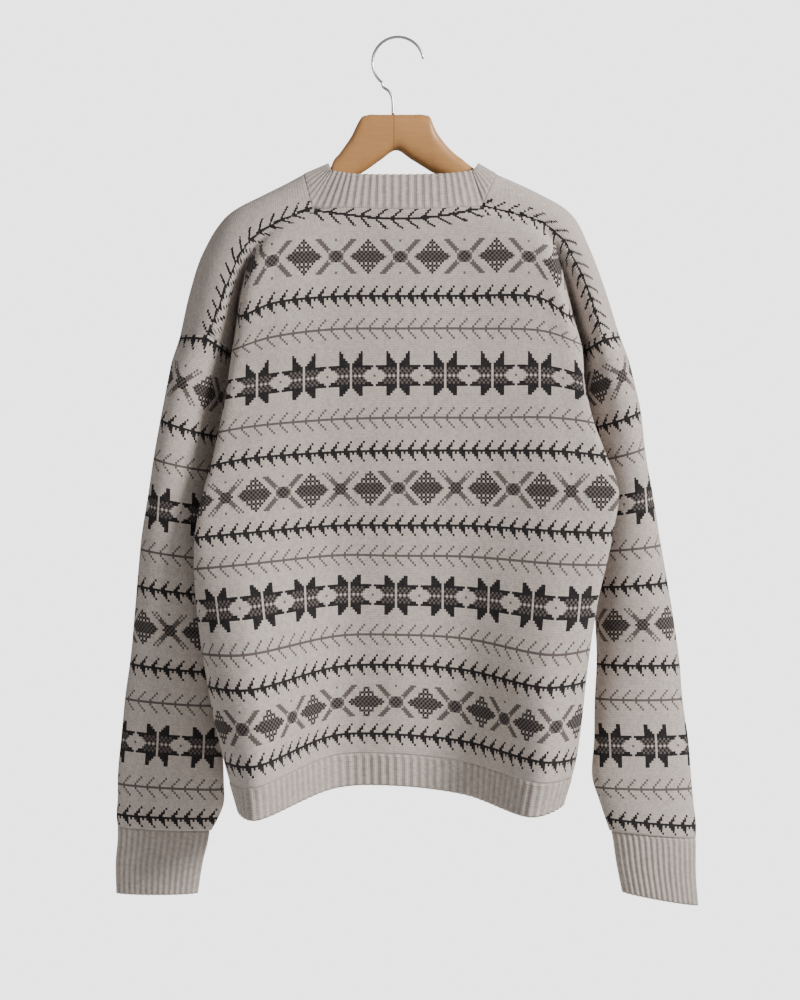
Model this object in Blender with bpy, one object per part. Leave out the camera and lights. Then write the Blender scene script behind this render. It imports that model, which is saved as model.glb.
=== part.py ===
"""A knitted nordic cardigan hanging on a wooden hanger, with its back towards -Y.

All lengths in the tables are millimetres. A drop is a distance below the inside top of the
hook, which is the origin. Courses are the knitted rows, named by their drop at the centre back.
Every panel is a cloth wall: its outer points come from the lines that run down the garment,
and its inner points lie one wall thickness inside them.
"""

from collections import namedtuple
from math import cos, pi, radians, sin, sqrt

import bpy
import numpy as np

# Driving sizes, in millimetres
MM = 0.001
WALL = 2.4
RIB_WALL = 2.6
RIB_HEIGHT = 1.0
SEAM = 0.4
RIB_SEAM = 0.35
ARMPIT_DEPTH = 5.5
DEEPEST_MITRE = 0.5

# Courses where the garment's parts meet, and how many rows of cells lie between them
YOKE_TOP, ARMPIT, HEM_SEAM, HEM_END = 186.0, 310.0, 748.0, 781.0
YOKE_ROWS, BODY_ROWS, SLEEVE_ROWS = 10, 17, 14
ROW_COURSES = np.concatenate(
    [
        np.linspace(YOKE_TOP, ARMPIT, YOKE_ROWS + 1),
        np.linspace(ARMPIT, HEM_SEAM, BODY_ROWS + 1)[1:],
    ]
)

# Cells across each stretch between two lines
STRIP_CELLS, SIDE_CELLS = 3, 3
BACK_CELLS = (4, 4, 3, 3, 4, 4)
FRONT_CELLS = (4, 5)
CAP_CELLS = 12
EVEN_AFTER = 140.0

# Ribs, and rows of cells down each ribbed piece
BACK_HEM_RIBS, FRONT_HEM_RIBS, CUFF_RIBS, NECK_RIBS, BAND_RIBS = 72, 24, 32, 58, 5
HEM_ROWS, CUFF_ROWS, NECK_ROWS, BAND_ROWS = 2, 2, 2, 15

# Front bands and buttons
HALF_BAND = 15.0
BAND_LIFT = WALL + RIB_HEIGHT / 2 + 0.4
NECK_FRONT_TOP = 196.0
BUTTONS, FIRST_BUTTON, LAST_BUTTON = 7, 213.0, 763.0
BUTTON_RADIUS, BUTTON_THICKNESS, BUTTON_SIDES = 9.0, 3.2, 12
# Shares of the radius and the thickness, from the underside out to the dished face
BUTTON_PROFILE = ((0.78, 0), (1, 0.3), (1, 0.75), (0.9, 1), (0.7, 0.8))

# A knot is one place on a line that runs down the garment
Knot = namedtuple("Knot", "course x y drop")

BACK_LINES = {
    "vine_left": (
        Knot(186, -86.5, -37, 184),
        Knot(198.4, -117.5, -39, 196.5),
        Knot(210.8, -138, -40, 207.5),
        Knot(235.6, -159.5, -42, 231.5),
        Knot(260.4, -172, -43, 259),
        Knot(285.2, -182, -43, 287),
        Knot(310, -193, -42, 315),
    ),
    "groove_left": (
        Knot(186, -81, -38, 184.5),
        Knot(198.4, -113, -41, 198),
        Knot(210.8, -131.5, -39, 210),
        Knot(235.6, -153, -29, 238.5),
        Knot(260.4, -162.5, -16, 267.5),
        Knot(285.2, -167, -11, 297),
        Knot(297.6, -169, -6, 313),
        Knot(310, -171, 7, 330),
    ),
    "edge_left": (
        Knot(186, -76, -39, 185),
        Knot(198.4, -106.5, -43, 198.5),
        Knot(210.8, -123, -46, 213),
        Knot(235.6, -145, -50, 245),
        Knot(260.4, -154.5, -50, 277),
        Knot(285.2, -159.5, -48, 307.5),
        Knot(310, -165, -46, 331),
        Knot(356, -172, -46, 370),
        Knot(400, -181.5, -46, 415),
        Knot(433, -189.5, -48, 449),
        Knot(471, -199.5, -50, 485),
        Knot(510, -205.5, -52, 522.5),
        Knot(584, -203.5, -52, 599),
        Knot(655, -191.5, -60, 674),
        Knot(693, -184, -62, 712.5),
        Knot(727, -175, -62, 750),
        Knot(782, -160.5, -62, 802),
    ),
    "crest_left": (
        Knot(186, -62, -41.5, 184.5),
        Knot(210.8, -96, -47, 211),
        Knot(235.6, -118, -51, 238.5),
        Knot(260.4, -124, -52, 267),
        Knot(310, -131, -50, 320),
        Knot(356, -137, -50, 365.5),
        Knot(433, -154, -54, 442),
        Knot(510, -158.5, -62, 518),
        Knot(584, -157, -78, 595),
        Knot(624, -151.5, -86, 640.5),
        Knot(655, -148, -93, 675),
        Knot(693, -141.5, -98, 712.5),
        Knot(727, -141, -102, 750),
        Knot(782, -140, -106, 805),
    ),
    "recess_left": (
        Knot(186, -47, -43, 184.5),
        Knot(310, -67.5, -46, 311),
        Knot(433, -68, -42, 435),
        Knot(584, -58, -32, 583.5),
        Knot(655, -60, -29, 657),
        Knot(727, -63, -27, 728),
        Knot(782, -60, -26, 784),
    ),
    "centre": (
        Knot(186, 0, -44, 186),
        Knot(310, 0, -46, 310),
        Knot(433, 0, -42, 433),
        Knot(584, 0, -33, 584),
        Knot(655, 0, -30, 655),
        Knot(782, 0, -27, 782),
    ),
    "recess_right": (
        Knot(186, 45, -43, 185),
        Knot(310, 76, -46, 310),
        Knot(433, 86.5, -42, 433),
        Knot(584, 69.5, -32, 586),
        Knot(655, 69.5, -29, 660),
        Knot(727, 69.5, -27, 734),
        Knot(782, 69.5, -26, 791),
    ),
    "crest_right": (
        Knot(186, 66, -41.5, 183.5),
        Knot(210.8, 118, -47, 209.5),
        Knot(235.6, 138, -51, 236.5),
        Knot(260.4, 145, -52, 262.5),
        Knot(310, 152, -50, 313),
        Knot(356, 160, -50, 357),
        Knot(433, 168, -52, 434),
        Knot(510, 172.5, -58, 516),
        Knot(584, 166.5, -66, 595.5),
        Knot(624, 158, -74, 641.5),
        Knot(655, 152, -82, 673.5),
        Knot(693, 150, -88, 712.5),
        Knot(727, 149.5, -93, 747),
        Knot(782, 136, -98, 803),
    ),
    "edge_right": (
        Knot(186, 80.5, -39, 183),
        Knot(198.4, 131.5, -43, 198),
        Knot(210.8, 148, -46, 214.5),
        Knot(235.6, 163, -50, 246),
        Knot(260.4, 172, -50, 279),
        Knot(285.2, 180, -48, 305.5),
        Knot(310, 187, -46, 324.5),
        Knot(356, 193, -46, 365.5),
        Knot(400, 203, -46, 405.5),
        Knot(433, 216, -46, 439),
        Knot(471, 228.5, -48, 475.5),
        Knot(510, 222.5, -50, 517.5),
        Knot(584, 205.5, -52, 594),
        Knot(655, 194, -56, 669.5),
        Knot(693, 190, -58, 706),
        Knot(727, 184.5, -58, 746.5),
        Knot(782, 170.5, -58, 796.5),
    ),
    "groove_right": (
        Knot(186, 84.5, -38, 182.5),
        Knot(198.4, 139, -41, 197),
        Knot(210.8, 157.5, -39, 212.5),
        Knot(235.6, 172, -29, 241.5),
        Knot(260.4, 181.5, -16, 271),
        Knot(285.2, 188.5, -11, 298),
        Knot(297.6, 192, -6, 311),
        Knot(310, 194.5, 7, 324),
    ),
    "vine_right": (
        Knot(186, 88.5, -37, 181.5),
        Knot(198.4, 143, -39, 196),
        Knot(210.8, 164.5, -40, 210),
        Knot(235.6, 183, -42, 238),
        Knot(260.4, 194.5, -43, 262.5),
        Knot(285.2, 203.5, -43, 287.5),
        Knot(310, 211.5, -42, 314),
    ),
}

FRONT_LINES = {
    "vine_left": (
        Knot(186, -86.5, 36, 190),
        Knot(198.4, -117, 42, 202),
        Knot(210.8, -138, 46, 214),
        Knot(235.6, -160, 52, 238),
        Knot(260.4, -172, 57, 264),
        Knot(285.2, -182, 61, 290),
        Knot(310, -193, 63, 315),
    ),
    "groove_left": (
        Knot(186, -81, 37, 193),
        Knot(198.4, -113, 42, 205),
        Knot(210.8, -131, 43, 217),
        Knot(235.6, -150, 38, 243),
        Knot(260.4, -160, 29, 270),
        Knot(285.2, -166, 25, 299),
        Knot(297.6, -168.5, 20, 314),
        Knot(310, -171, 7, 330),
    ),
    "corner_left": (
        Knot(186, -74, 39, 199),
        Knot(210.8, -118, 50, 224),
        Knot(235.6, -136, 53, 249),
        Knot(260.4, -144, 54, 276),
        Knot(310, -150, 49, 330),
        Knot(400, -146, 50, 414),
        Knot(542, -150, 54, 552),
        Knot(623, -146, 56, 640),
        Knot(748, -134, 60, 768),
        Knot(781, -130, 61, 800),
    ),
    "mid_left": (
        Knot(186, -48, 45.5, 218),
        Knot(210.8, -66, 52, 238),
        Knot(260.4, -78, 56, 281),
        Knot(310, -80, 57, 318),
        Knot(433, -80, 58, 440),
        Knot(584, -80, 60, 590),
        Knot(748, -74, 62, 756),
        Knot(781, -72, 63, 789),
    ),
    "mid_right": (
        Knot(186, 48, 45.5, 218),
        Knot(210.8, 72, 52, 237),
        Knot(260.4, 86, 56, 280),
        Knot(310, 90, 57, 317),
        Knot(433, 88, 58, 438),
        Knot(584, 84, 60, 588),
        Knot(748, 78, 62, 755),
        Knot(781, 76, 63, 788),
    ),
    "corner_right": (
        Knot(186, 76, 39, 198),
        Knot(210.8, 140, 50, 222),
        Knot(235.6, 155, 53, 248),
        Knot(260.4, 162, 54, 275),
        Knot(310, 170, 49, 324),
        Knot(400, 164, 50, 410),
        Knot(542, 164, 54, 550),
        Knot(623, 156, 56, 637),
        Knot(748, 144, 60, 765),
        Knot(781, 140, 61, 797),
    ),
    "groove_right": (
        Knot(186, 84.5, 37, 191),
        Knot(198.4, 139, 42, 204),
        Knot(210.8, 157, 43, 217),
        Knot(235.6, 171, 38, 244),
        Knot(260.4, 181, 29, 272),
        Knot(285.2, 188.5, 25, 299),
        Knot(297.6, 192, 20, 311.5),
        Knot(310, 194.5, 7, 324),
    ),
    "vine_right": (
        Knot(186, 88.5, 36, 188),
        Knot(198.4, 143, 43, 201),
        Knot(210.8, 165, 47, 215),
        Knot(235.6, 183, 53, 241),
        Knot(260.4, 194.5, 58, 265),
        Knot(285.2, 203.5, 61, 289),
        Knot(310, 211.5, 63, 314),
    ),
}

# The fronts' edges beside the bands: x is set by the band's half width
FRONT_CENTRE = (
    Knot(186, 0, 50, 228),
    Knot(248, 0, 56, 269),
    Knot(310, 0, 58, 312),
    Knot(433, 0, 59, 434),
    Knot(584, 0, 60, 585),
    Knot(748, 0, 62, 749),
    Knot(781, 0, 63, 782),
)

SIDE_SEAMS = {
    "left": (
        Knot(310, -171, 7, 330),
        Knot(356, -168, 7, 370),
        Knot(400, -166, 7, 414),
        Knot(471, -172, 7, 483),
        Knot(542, -176, 7, 552),
        Knot(623, -170, 7, 640),
        Knot(693, -162, 7, 709),
        Knot(748, -152, 7, 768),
        Knot(781, -146, 7, 800),
    ),
    "right": (
        Knot(310, 194.5, 7, 324),
        Knot(356, 187, 7, 365),
        Knot(400, 184, 7, 406),
        Knot(471, 186, 7, 476),
        Knot(542, 180, 7, 549),
        Knot(623, 172, 7, 637),
        Knot(693, 166, 7, 706),
        Knot(748, 158, 7, 765),
        Knot(781, 151, 7, 797),
    ),
}

# The top lines of the shoulders, from the neckband to the sleeves
RIDGES = {
    "left": (
        Knot(186, -97.5, 0, 144),
        Knot(198.4, -117.5, 0, 155),
        Knot(210.8, -137.5, 0, 165),
        Knot(235.6, -177.5, 2, 187.5),
        Knot(260.4, -203, 5, 226),
        Knot(285.2, -217.5, 8, 269),
        Knot(310, -227.5, 10, 313),
    ),
    "right": (
        Knot(186, 106, 0, 144),
        Knot(198.4, 127, 0, 153.5),
        Knot(210.8, 147, 0, 163),
        Knot(235.6, 183, 2, 184.5),
        Knot(260.4, 202, 5, 218.5),
        Knot(285.2, 218.5, 8, 260.5),
        Knot(310, 234, 10, 309),
    ),
}

# Soft vertical folds of the fronts: depth is reached at the hem, and they start below the chest
Fold = namedtuple("Fold", "x half_width depth")
FRONT_FOLDS = (
    Fold(-104, 26, 13),
    Fold(-48, 22, 9),
    Fold(52, 24, 11),
    Fold(112, 24, 12),
)
FOLDS_START, FOLDS_FULL = 300.0, 720.0

# Sleeve sections: outer is the x of the silhouette, lean moves the side near the camera
# outwards, and tilt is how much lower the inner end of a course hangs
Section = namedtuple("Section", "drop outer half_x half_y lean y tilt")
SLEEVES = {
    "left": (
        Section(358, -236, 28, 52, 0.15, 10, 12),
        Section(400, -244, 29, 50, 0.25, 10, 10),
        Section(443, -252, 31, 47, 0.35, 10, 8),
        Section(485, -259, 34, 43, 0.35, 10, 7),
        Section(527, -266.5, 37, 40, 0.30, 10, 6),
        Section(569, -271, 40, 36, 0.25, 9, 6),
        Section(611, -275, 43, 32, 0.20, 8, 5),
        Section(653, -279, 46, 27, 0.15, 7, 5),
        Section(695, -285, 49, 23, 0.10, 6, 4),
        Section(737, -289, 53, 20, 0.05, 5, 4),
        Section(780, -293, 56, 18, 0, 5, 3),
        Section(800, -293, 56, 17, 0, 5, 3),
        Section(821, -294, 52.5, 16, 0, 5, 2),
        Section(830, -293, 49.5, 15, 0, 5, 2),
    ),
    "right": (
        Section(358, 245.5, 25, 52, 0.15, 10, 12),
        Section(400, 255, 27, 50, 0.25, 10, 10),
        Section(443, 260, 28, 47, 0.35, 10, 8),
        Section(485, 268.5, 31, 43, 0.35, 10, 6),
        Section(527, 276, 34, 40, 0.30, 10, 4),
        Section(569, 284, 37, 36, 0.25, 9, 3),
        Section(611, 291.5, 40, 32, 0.20, 8, 2),
        Section(653, 298, 43, 27, 0.15, 7, 0),
        Section(695, 301.5, 46, 23, 0.10, 6, 0),
        Section(737, 307.5, 49.5, 20, 0.05, 5, 0),
        Section(780, 311, 52, 18, 0, 5, 0),
        Section(800, 313, 50, 17, 0, 5, -2),
        Section(826, 316, 47.5, 16, 0, 5, -4),
        Section(836, 315.5, 45.5, 15, 0, 5, -4),
    ),
}
CUFFS = {
    "left": (
        Section(830, -293, 48.5, 14, 0, 5, 2),
        Section(842, -293, 47.5, 14, 0, 5, 2),
        Section(864, -295, 46, 13.5, 0, 5, 0),
        Section(898, -294.5, 43, 13, 0, 5, 0),
    ),
    "right": (
        Section(836, 315.5, 44.5, 14, 0, 5, -4),
        Section(848, 315.5, 43.5, 14, 0, 5, -5),
        Section(870, 315.5, 42, 13.5, 0, 5, -6),
        Section(904, 318, 40, 13, 0, 5, -7),
    ),
}

# The neckband's top edge: its x follows the seam's x by this table, and its y is a share of
# the seam's y
NECK_SEAM_X = (-97.5, -86.5, -50, -15.4, 15.4, 50, 88.5, 106)
NECK_TOP_X = (-70.5, -66, -44, -15.4, 15.4, 48, 78, 86)
NECK_TOP_Y = 0.77
NECK_SIDE_TOP, NECK_BACK_FALL, NECK_FRONT_FALL = 132.0, 16.3, 64.0

# The hanger from its left arm to its right one: the block with its V-shaped underside. Past
# these stations the top follows the inside of the shoulders
Station = namedtuple("Station", "x top bottom")
HANGER = (
    Station(-77, 140.2, 163),
    Station(-68.5, 136, 159),
    Station(-65.5, 128.5, 157),
    Station(-60, 122, 153.5),
    Station(-53.5, 113, 150),
    Station(-46, 101.5, 146.5),
    Station(-40.5, 90, 143.5),
    Station(-36.5, 83.4, 141.5),
    Station(-30, 80.7, 137.5),
    Station(-16, 80.3, 127.5),
    Station(0, 80.3, 117.5),
    Station(16, 80.3, 127),
    Station(30.5, 80.7, 136),
    Station(36, 83, 139.5),
    Station(41, 95, 142),
    Station(49.5, 108, 146),
    Station(61, 120.5, 152.5),
    Station(70.5, 127.7, 157),
    Station(75, 131.5, 159.5),
    Station(84, 138, 164),
)
BLOCK_HALF_THICKNESS = 10.0
Reach = namedtuple("Reach", "course lower depth half_thickness")
ARM = (
    Reach(186, 0, 27, 9.5),
    Reach(198.4, 0, 25.5, 9.5),
    Reach(210.8, 0, 23.5, 9.5),
    Reach(223, 0, 21.5, 9.5),
    Reach(230, 0.5, 20, 9),
    Reach(233, 4.5, 12, 7),
)
HANGER_SIDES, HANGER_SQUARENESS = 14, 2.5
HANGER_SEAT = WALL + 1.4

# The wire hook
WIRE_RADIUS = 1.5
HOOK_CENTRE_X, HOOK_RADIUS = 2.1, 26.8
HOOK_TIP_ANGLE, HOOK_TURN_ANGLE = 8, 236
SHANK = ((-13.5, 50.8), (-7.5, 55.5), (-4.2, 62), (-3.4, 69), (-3.2, 79.9))
WIRE_SIDES = 8

# Colours, metallic and roughness
COLOURS = {
    "wool": ((0.50, 0.44, 0.40), 0.0, 0.95),
    "rib": ((0.52, 0.45, 0.41), 0.0, 0.95),
    "beech": ((0.48, 0.27, 0.13), 0.0, 0.45),
    "wire": ((0.62, 0.62, 0.62), 1.0, 0.25),
    "horn": ((0.10, 0.07, 0.05), 0.0, 0.35),
}


def clear_scene():
    for thing in list(bpy.data.objects):
        bpy.data.objects.remove(thing, do_unlink=True)


def finish(mesh, name, colour, smooth=True):
    """Makes the mesh an object of this name, with a material of its own."""
    rgb, metallic, roughness = COLOURS[colour]
    material = bpy.data.materials.new(name)
    material.use_nodes = True
    shader = material.node_tree.nodes["Principled BSDF"]
    shader.inputs["Base Color"].default_value = (*rgb, 1)
    shader.inputs["Metallic"].default_value = metallic
    shader.inputs["Roughness"].default_value = roughness
    mesh.materials.append(material)
    if smooth:
        mesh.shade_smooth()
    thing = bpy.data.objects.new(name, mesh)
    bpy.context.collection.objects.link(thing)
    return thing


def through(knots, values, at):
    """Smooth curve through values at knots, read at the places at: cubic pieces that share
    their slopes, straight beyond the ends."""
    knots = np.asarray(knots, float)
    values = np.asarray(values, float)
    at = np.asarray(at, float)
    steps = np.diff(knots)
    slopes = np.diff(values, axis=0) / steps.reshape(-1, *[1] * (values.ndim - 1))
    tangents = np.empty_like(values)
    tangents[0], tangents[-1] = slopes[0], slopes[-1]
    for k in range(1, len(knots) - 1):
        share = steps[k - 1] / (steps[k - 1] + steps[k])
        tangents[k] = (1 - share) * slopes[k - 1] + share * slopes[k]
    piece = np.clip(np.searchsorted(knots, at, side="right") - 1, 0, len(knots) - 2)
    width = steps[piece]
    t = (at - knots[piece]) / width
    shape = (*t.shape, *[1] * (values.ndim - 1))
    inside = np.clip(t, 0, 1).reshape(shape)
    beyond = ((t - np.clip(t, 0, 1)) * width).reshape(shape)
    width = width.reshape(shape)
    start, end = values[piece], values[piece + 1]
    rise, fall = tangents[piece] * width, tangents[piece + 1] * width
    cubic = (
        start * (1 + 2 * inside) * (1 - inside) ** 2
        + rise * inside * (1 - inside) ** 2
        + end * inside**2 * (3 - 2 * inside)
        + fall * inside**2 * (inside - 1)
    )
    edge = np.where(beyond > 0, tangents[piece + 1], tangents[piece])
    return cubic + beyond * edge


def place(line, course):
    """The point of a line at this course, with z up."""
    table = np.array(line)
    x, y, drop = through(table[:, 0], table[:, 1:], course)
    return np.array([x, y, -drop])


def across(keys, cells):
    """Points along a smooth curve through the keys, with the given cells between each two."""
    keys = np.array(keys)
    lengths = np.linalg.norm(np.diff(keys, axis=0), axis=1)
    along = np.concatenate([[0], np.cumsum(np.sqrt(lengths + 1))])
    stations = [
        np.linspace(along[k], along[k + 1], count, endpoint=False)
        for k, count in enumerate(cells)
    ]
    return through(along, keys, np.concatenate([*stations, [along[-1]]]))


def strip(vine, groove, cells):
    """The turned-in stretch beside an armhole: it leaves the vine sideways and sinks into
    the groove."""
    control = vine + 0.6 * (groove - vine) * (1, 0, 1)
    t = np.linspace(0, 1, cells + 1)[:, None]
    return (1 - t) ** 2 * vine + 2 * t * (1 - t) * control + t**2 * groove


def armpit_point(side):
    return place(SIDE_SEAMS[side], ARMPIT)


def smoothstep(t):
    t = np.clip(t, 0, 1)
    return t * t * (3 - 2 * t)


def side_point(lines, name, side, course):
    """The groove above the armpit, and the side seam below it."""
    if course <= ARMPIT:
        return place(lines[name], course)
    return place(SIDE_SEAMS[side], course)


def back_section(course, cells=BACK_CELLS, side_cells=SIDE_CELLS):
    """The back from side seam to side seam at one course."""
    inner = ("edge_left", "crest_left", "recess_left", "centre")
    inner += ("recess_right", "crest_right", "edge_right")
    keys = [side_point(BACK_LINES, "groove_left", "left", course)]
    keys += [place(BACK_LINES[name], course) for name in inner]
    keys += [side_point(BACK_LINES, "groove_right", "right", course)]
    return across(keys, (side_cells, *cells, side_cells))


def fold_depths(points, course):
    """How far the fronts' soft folds fall back from the nominal face."""
    growth = smoothstep((course - FOLDS_START) / (FOLDS_FULL - FOLDS_START))
    depth = np.zeros(len(points))
    for fold in FRONT_FOLDS:
        reach = np.clip(np.abs(points[:, 0] - fold.x) / fold.half_width, 0, 1)
        depth += fold.depth * growth * (1 - reach**2) ** 2
    return depth


def front_edge(side, course):
    """The edge of a front beside the bands. The right front lies over the left one."""
    sign = -1 if side == "left" else 1
    lift = BAND_LIFT if side == "right" else 0
    return place(FRONT_CENTRE, course) + np.array([sign * (HALF_BAND + SEAM / 2), lift, 0])


def front_section(side, course, cells=FRONT_CELLS, side_cells=SIDE_CELLS):
    """One front from its side seam to its centre edge at one course."""
    keys = [side_point(FRONT_LINES, f"groove_{side}", side, course)]
    keys += [place(FRONT_LINES[f"{name}_{side}"], course) for name in ("corner", "mid")]
    keys += [front_edge(side, course)]
    points = across(keys, (side_cells, *cells))
    points[:, 1] -= fold_depths(points, course)
    return points


def back_grid():
    rows = []
    for course in ROW_COURSES:
        middle = back_section(course)
        yoke = min(course, ARMPIT)
        left = strip(place(BACK_LINES["vine_left"], yoke), middle[0], STRIP_CELLS)
        right = strip(place(BACK_LINES["vine_right"], yoke), middle[-1], STRIP_CELLS)
        rows.append(np.concatenate([left[:-1], middle, right[-2::-1]]))
    return np.array(rows)


def front_grid(side):
    """Columns run from the armhole to the centre edge."""
    rows = []
    for course in ROW_COURSES:
        middle = front_section(side, course)
        vine = place(FRONT_LINES[f"vine_{side}"], min(course, ARMPIT))
        rows.append(np.concatenate([strip(vine, middle[0], STRIP_CELLS)[:-1], middle]))
    return np.array(rows)


def strip_cells(columns, both_sides):
    """Which cells a panel has: the strips beside the armholes end at the armpit."""
    cells = np.ones((YOKE_ROWS + BODY_ROWS, columns - 1), bool)
    cells[YOKE_ROWS:, :STRIP_CELLS] = False
    if both_sides:
        cells[YOKE_ROWS:, -STRIP_CELLS:] = False
    return cells


def cap_grid(side):
    """A shoulder cap: each row is an arch from the back over the ridge to the front."""
    turns = np.linspace(0, pi, CAP_CELLS + 1)[:, None]
    rows = []
    for course in ROW_COURSES[: YOKE_ROWS + 1]:
        back = place(BACK_LINES[f"vine_{side}"], course)
        front = place(FRONT_LINES[f"vine_{side}"], course)
        middle = (back + front) / 2
        arch = middle + np.cos(turns) * (back - middle)
        arch += np.sin(turns) * (place(RIDGES[side], course) - middle)
        arch[0], arch[-1] = back, front
        rows.append(arch)
    return np.array(rows)


def section_ring(section, angles, side):
    """A sleeve's closed section: angle 0 faces the camera, and a quarter turn on is the
    outer silhouette."""
    sign = -1 if side == "left" else 1
    reach = sqrt(section.half_x**2 + (section.lean * section.half_y) ** 2)
    centre_x = section.outer - sign * reach
    near = np.cos(angles)
    outward = np.sin(angles)
    x = centre_x + sign * (outward * section.half_x + near * section.lean * section.half_y)
    y = section.y - near * section.half_y
    z = -section.drop + section.tilt * outward
    return np.stack([x, y, z], axis=1)


def sleeve_grid(side, ring):
    """A sleeve from the armhole ring down to the cuff's seam. The ring starts at the back
    vine and runs over the outside first."""
    table = np.array(SLEEVES[side])
    first = SLEEVES[side][0]
    sign = -1 if side == "left" else 1
    centre = ring.mean(axis=0)
    outward = sign * (ring[:, 0] - centre[0]) / first.half_x
    near = -(ring[:, 1] - centre[1]) / first.half_y
    angles = np.unwrap(np.arctan2(outward, near))
    even = angles[0] + np.linspace(0, 2 * pi, len(ring), endpoint=False)
    levels = np.linspace(first.drop, table[-1, 0], SLEEVE_ROWS)
    rows = [ring]
    for level in levels:
        section = Section(level, *through(table[:, 0], table[:, 1:], level))
        settle = smoothstep((level - first.drop) / EVEN_AFTER)
        rows.append(section_ring(section, (1 - settle) * angles + settle * even, side))
    return np.array(rows)


def cuff_grid(side, columns):
    table = np.array(CUFFS[side])
    angles = np.linspace(0, 2 * pi, columns, endpoint=False)
    levels = np.linspace(table[0, 0] + RIB_SEAM, table[-1, 0], CUFF_ROWS + 1)
    rows = []
    for level in levels:
        section = Section(level, *through(table[:, 0], table[:, 1:], level))
        rows.append(section_ring(section, angles, side))
    return np.array(rows)


def face_normals(grid, closed):
    """Unit normals of the quads: counter-clockwise when seen from outside."""
    right = np.roll(grid, -1, axis=1) if closed else grid[:, 1:]
    left = grid if closed else grid[:, :-1]
    first = right[1:] - left[:-1]
    second = right[:-1] - left[1:]
    normals = np.cross(first, second)
    return normals / np.maximum(np.linalg.norm(normals, axis=2, keepdims=True), 1e-9)


class Panel:
    """A grid of outer points with rows down and columns to the right as seen from outside."""

    def __init__(self, grid, cells=None, closed=False):
        self.grid, self.closed = grid, closed
        across_cells = grid.shape[1] - (0 if closed else 1)
        shape = (grid.shape[0] - 1, across_cells)
        self.cells = np.ones(shape, bool) if cells is None else cells
        self.faces = face_normals(grid, closed)

    def corners(self):
        """Each cell's face normal with its four corners."""
        columns = self.grid.shape[1]
        for r, c in zip(*np.nonzero(self.cells)):
            for corner in ((r, c), (r + 1, c), (r + 1, c + 1), (r, c + 1)):
                yield (r, c), (corner[0], corner[1] % columns)


def wall_vectors(panels):
    """For every point of every panel, the way from its outer to its inner wall, shared where
    panels meet. At the armpits, where six panels meet, the inside lies straight above."""
    met = {}
    for panel in panels:
        for cell, corner in panel.corners():
            key = tuple(np.round(panel.grid[corner], 2))
            met.setdefault(key, []).append(panel.faces[cell])
    vectors = {}
    for key, normals in met.items():
        mean = np.sum(normals, axis=0)
        mean /= max(np.linalg.norm(mean), 1e-9)
        squareness = max(float(np.mean(np.array(normals) @ mean)), DEEPEST_MITRE)
        vectors[key] = -mean * WALL / squareness
    for side in ("left", "right"):
        armpit = tuple(np.round(armpit_point(side), 2))
        inward = WALL if side == "left" else -WALL
        vectors[armpit] = np.array([0.8 * inward, 0, ARMPIT_DEPTH])
    result = []
    for panel in panels:
        field = np.zeros_like(panel.grid)
        for index in np.ndindex(panel.grid.shape[:2]):
            field[index] = vectors.get(tuple(np.round(panel.grid[index], 2)), 0)
        result.append(field)
    return result


def boundary(cells, columns, closed):
    """The edges that belong to one cell only, each as the cell goes round it."""
    found = {}
    for r, c in zip(*np.nonzero(cells)):
        ring = ((r, c), (r + 1, c), (r + 1, c + 1), (r, c + 1))
        for a, b in zip(ring, ring[1:] + ring[:1]):
            ends = [(p[0], p[1] % columns if closed else p[1]) for p in (a, b)]
            key = frozenset(ends)
            if key in found:
                del found[key]
            else:
                found[key] = (a, b)
    return list(found.values())


def drawn_back(panel, distance):
    """How far each boundary point moves into its panel, to leave half of a seam's gap."""
    columns = panel.grid.shape[1]
    moves = np.zeros_like(panel.grid)
    edges = boundary(panel.cells, columns, panel.closed)
    on_edge = {(p[0], p[1] % columns) for edge in edges for p in edge}
    pulls = {}
    for (r, c), corner in panel.corners():
        if corner in on_edge:
            right = (c + 1) % columns
            cell = [(r, c), (r + 1, c), (r + 1, right), (r, right)]
            middle = np.mean([panel.grid[p] for p in cell], axis=0)
            pulls.setdefault(corner, []).append(middle - panel.grid[corner])
    for corner, pull in pulls.items():
        way = np.sum([p / np.linalg.norm(p) for p in pull], axis=0)
        moves[corner] = way / np.linalg.norm(way) * distance
    return moves


def shell(name, outer, inner, colour, step=1, cells=None, closed=False):
    """A closed wall between outer and inner points. The inner grid has every step-th column
    of the outer one, and cells says which of its cells there are."""
    rows, columns = inner.shape[:2]
    wide = outer.shape[1]
    if cells is None:
        cells = np.ones((rows - 1, columns if closed else columns - 1), bool)

    def outside(r, c):
        return r * wide + c % wide

    def inside(r, c):
        return rows * wide + r * columns + c % columns

    faces = []
    for r, c in zip(*np.nonzero(cells)):
        for k in range(c * step, (c + 1) * step):
            faces.append((outside(r, k), outside(r + 1, k), outside(r + 1, k + 1), outside(r, k + 1)))
        faces.append((inside(r, c), inside(r, c + 1), inside(r + 1, c + 1), inside(r + 1, c)))
    for a, b in boundary(cells, columns, closed):
        if a[0] == b[0]:
            way = 1 if a[1] > b[1] else -1
            chain = [(a[0], k) for k in range(b[1] * step, a[1] * step + way, way)]
        else:
            chain = [(b[0], b[1] * step), (a[0], a[1] * step)]
        faces.append((*[outside(*p) for p in chain], inside(*a), inside(*b)))
    points = np.concatenate([outer.reshape(-1, 3), inner.reshape(-1, 3)]) * MM
    used = sorted({int(v) for face in faces for v in face})
    place_of = {v: k for k, v in enumerate(used)}
    mesh = bpy.data.meshes.new(name)
    mesh.from_pydata(
        [tuple(points[v]) for v in used],
        [],
        [tuple(place_of[int(v)] for v in face) for face in faces],
    )
    mesh.validate()
    return finish(mesh, name, colour)


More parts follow.
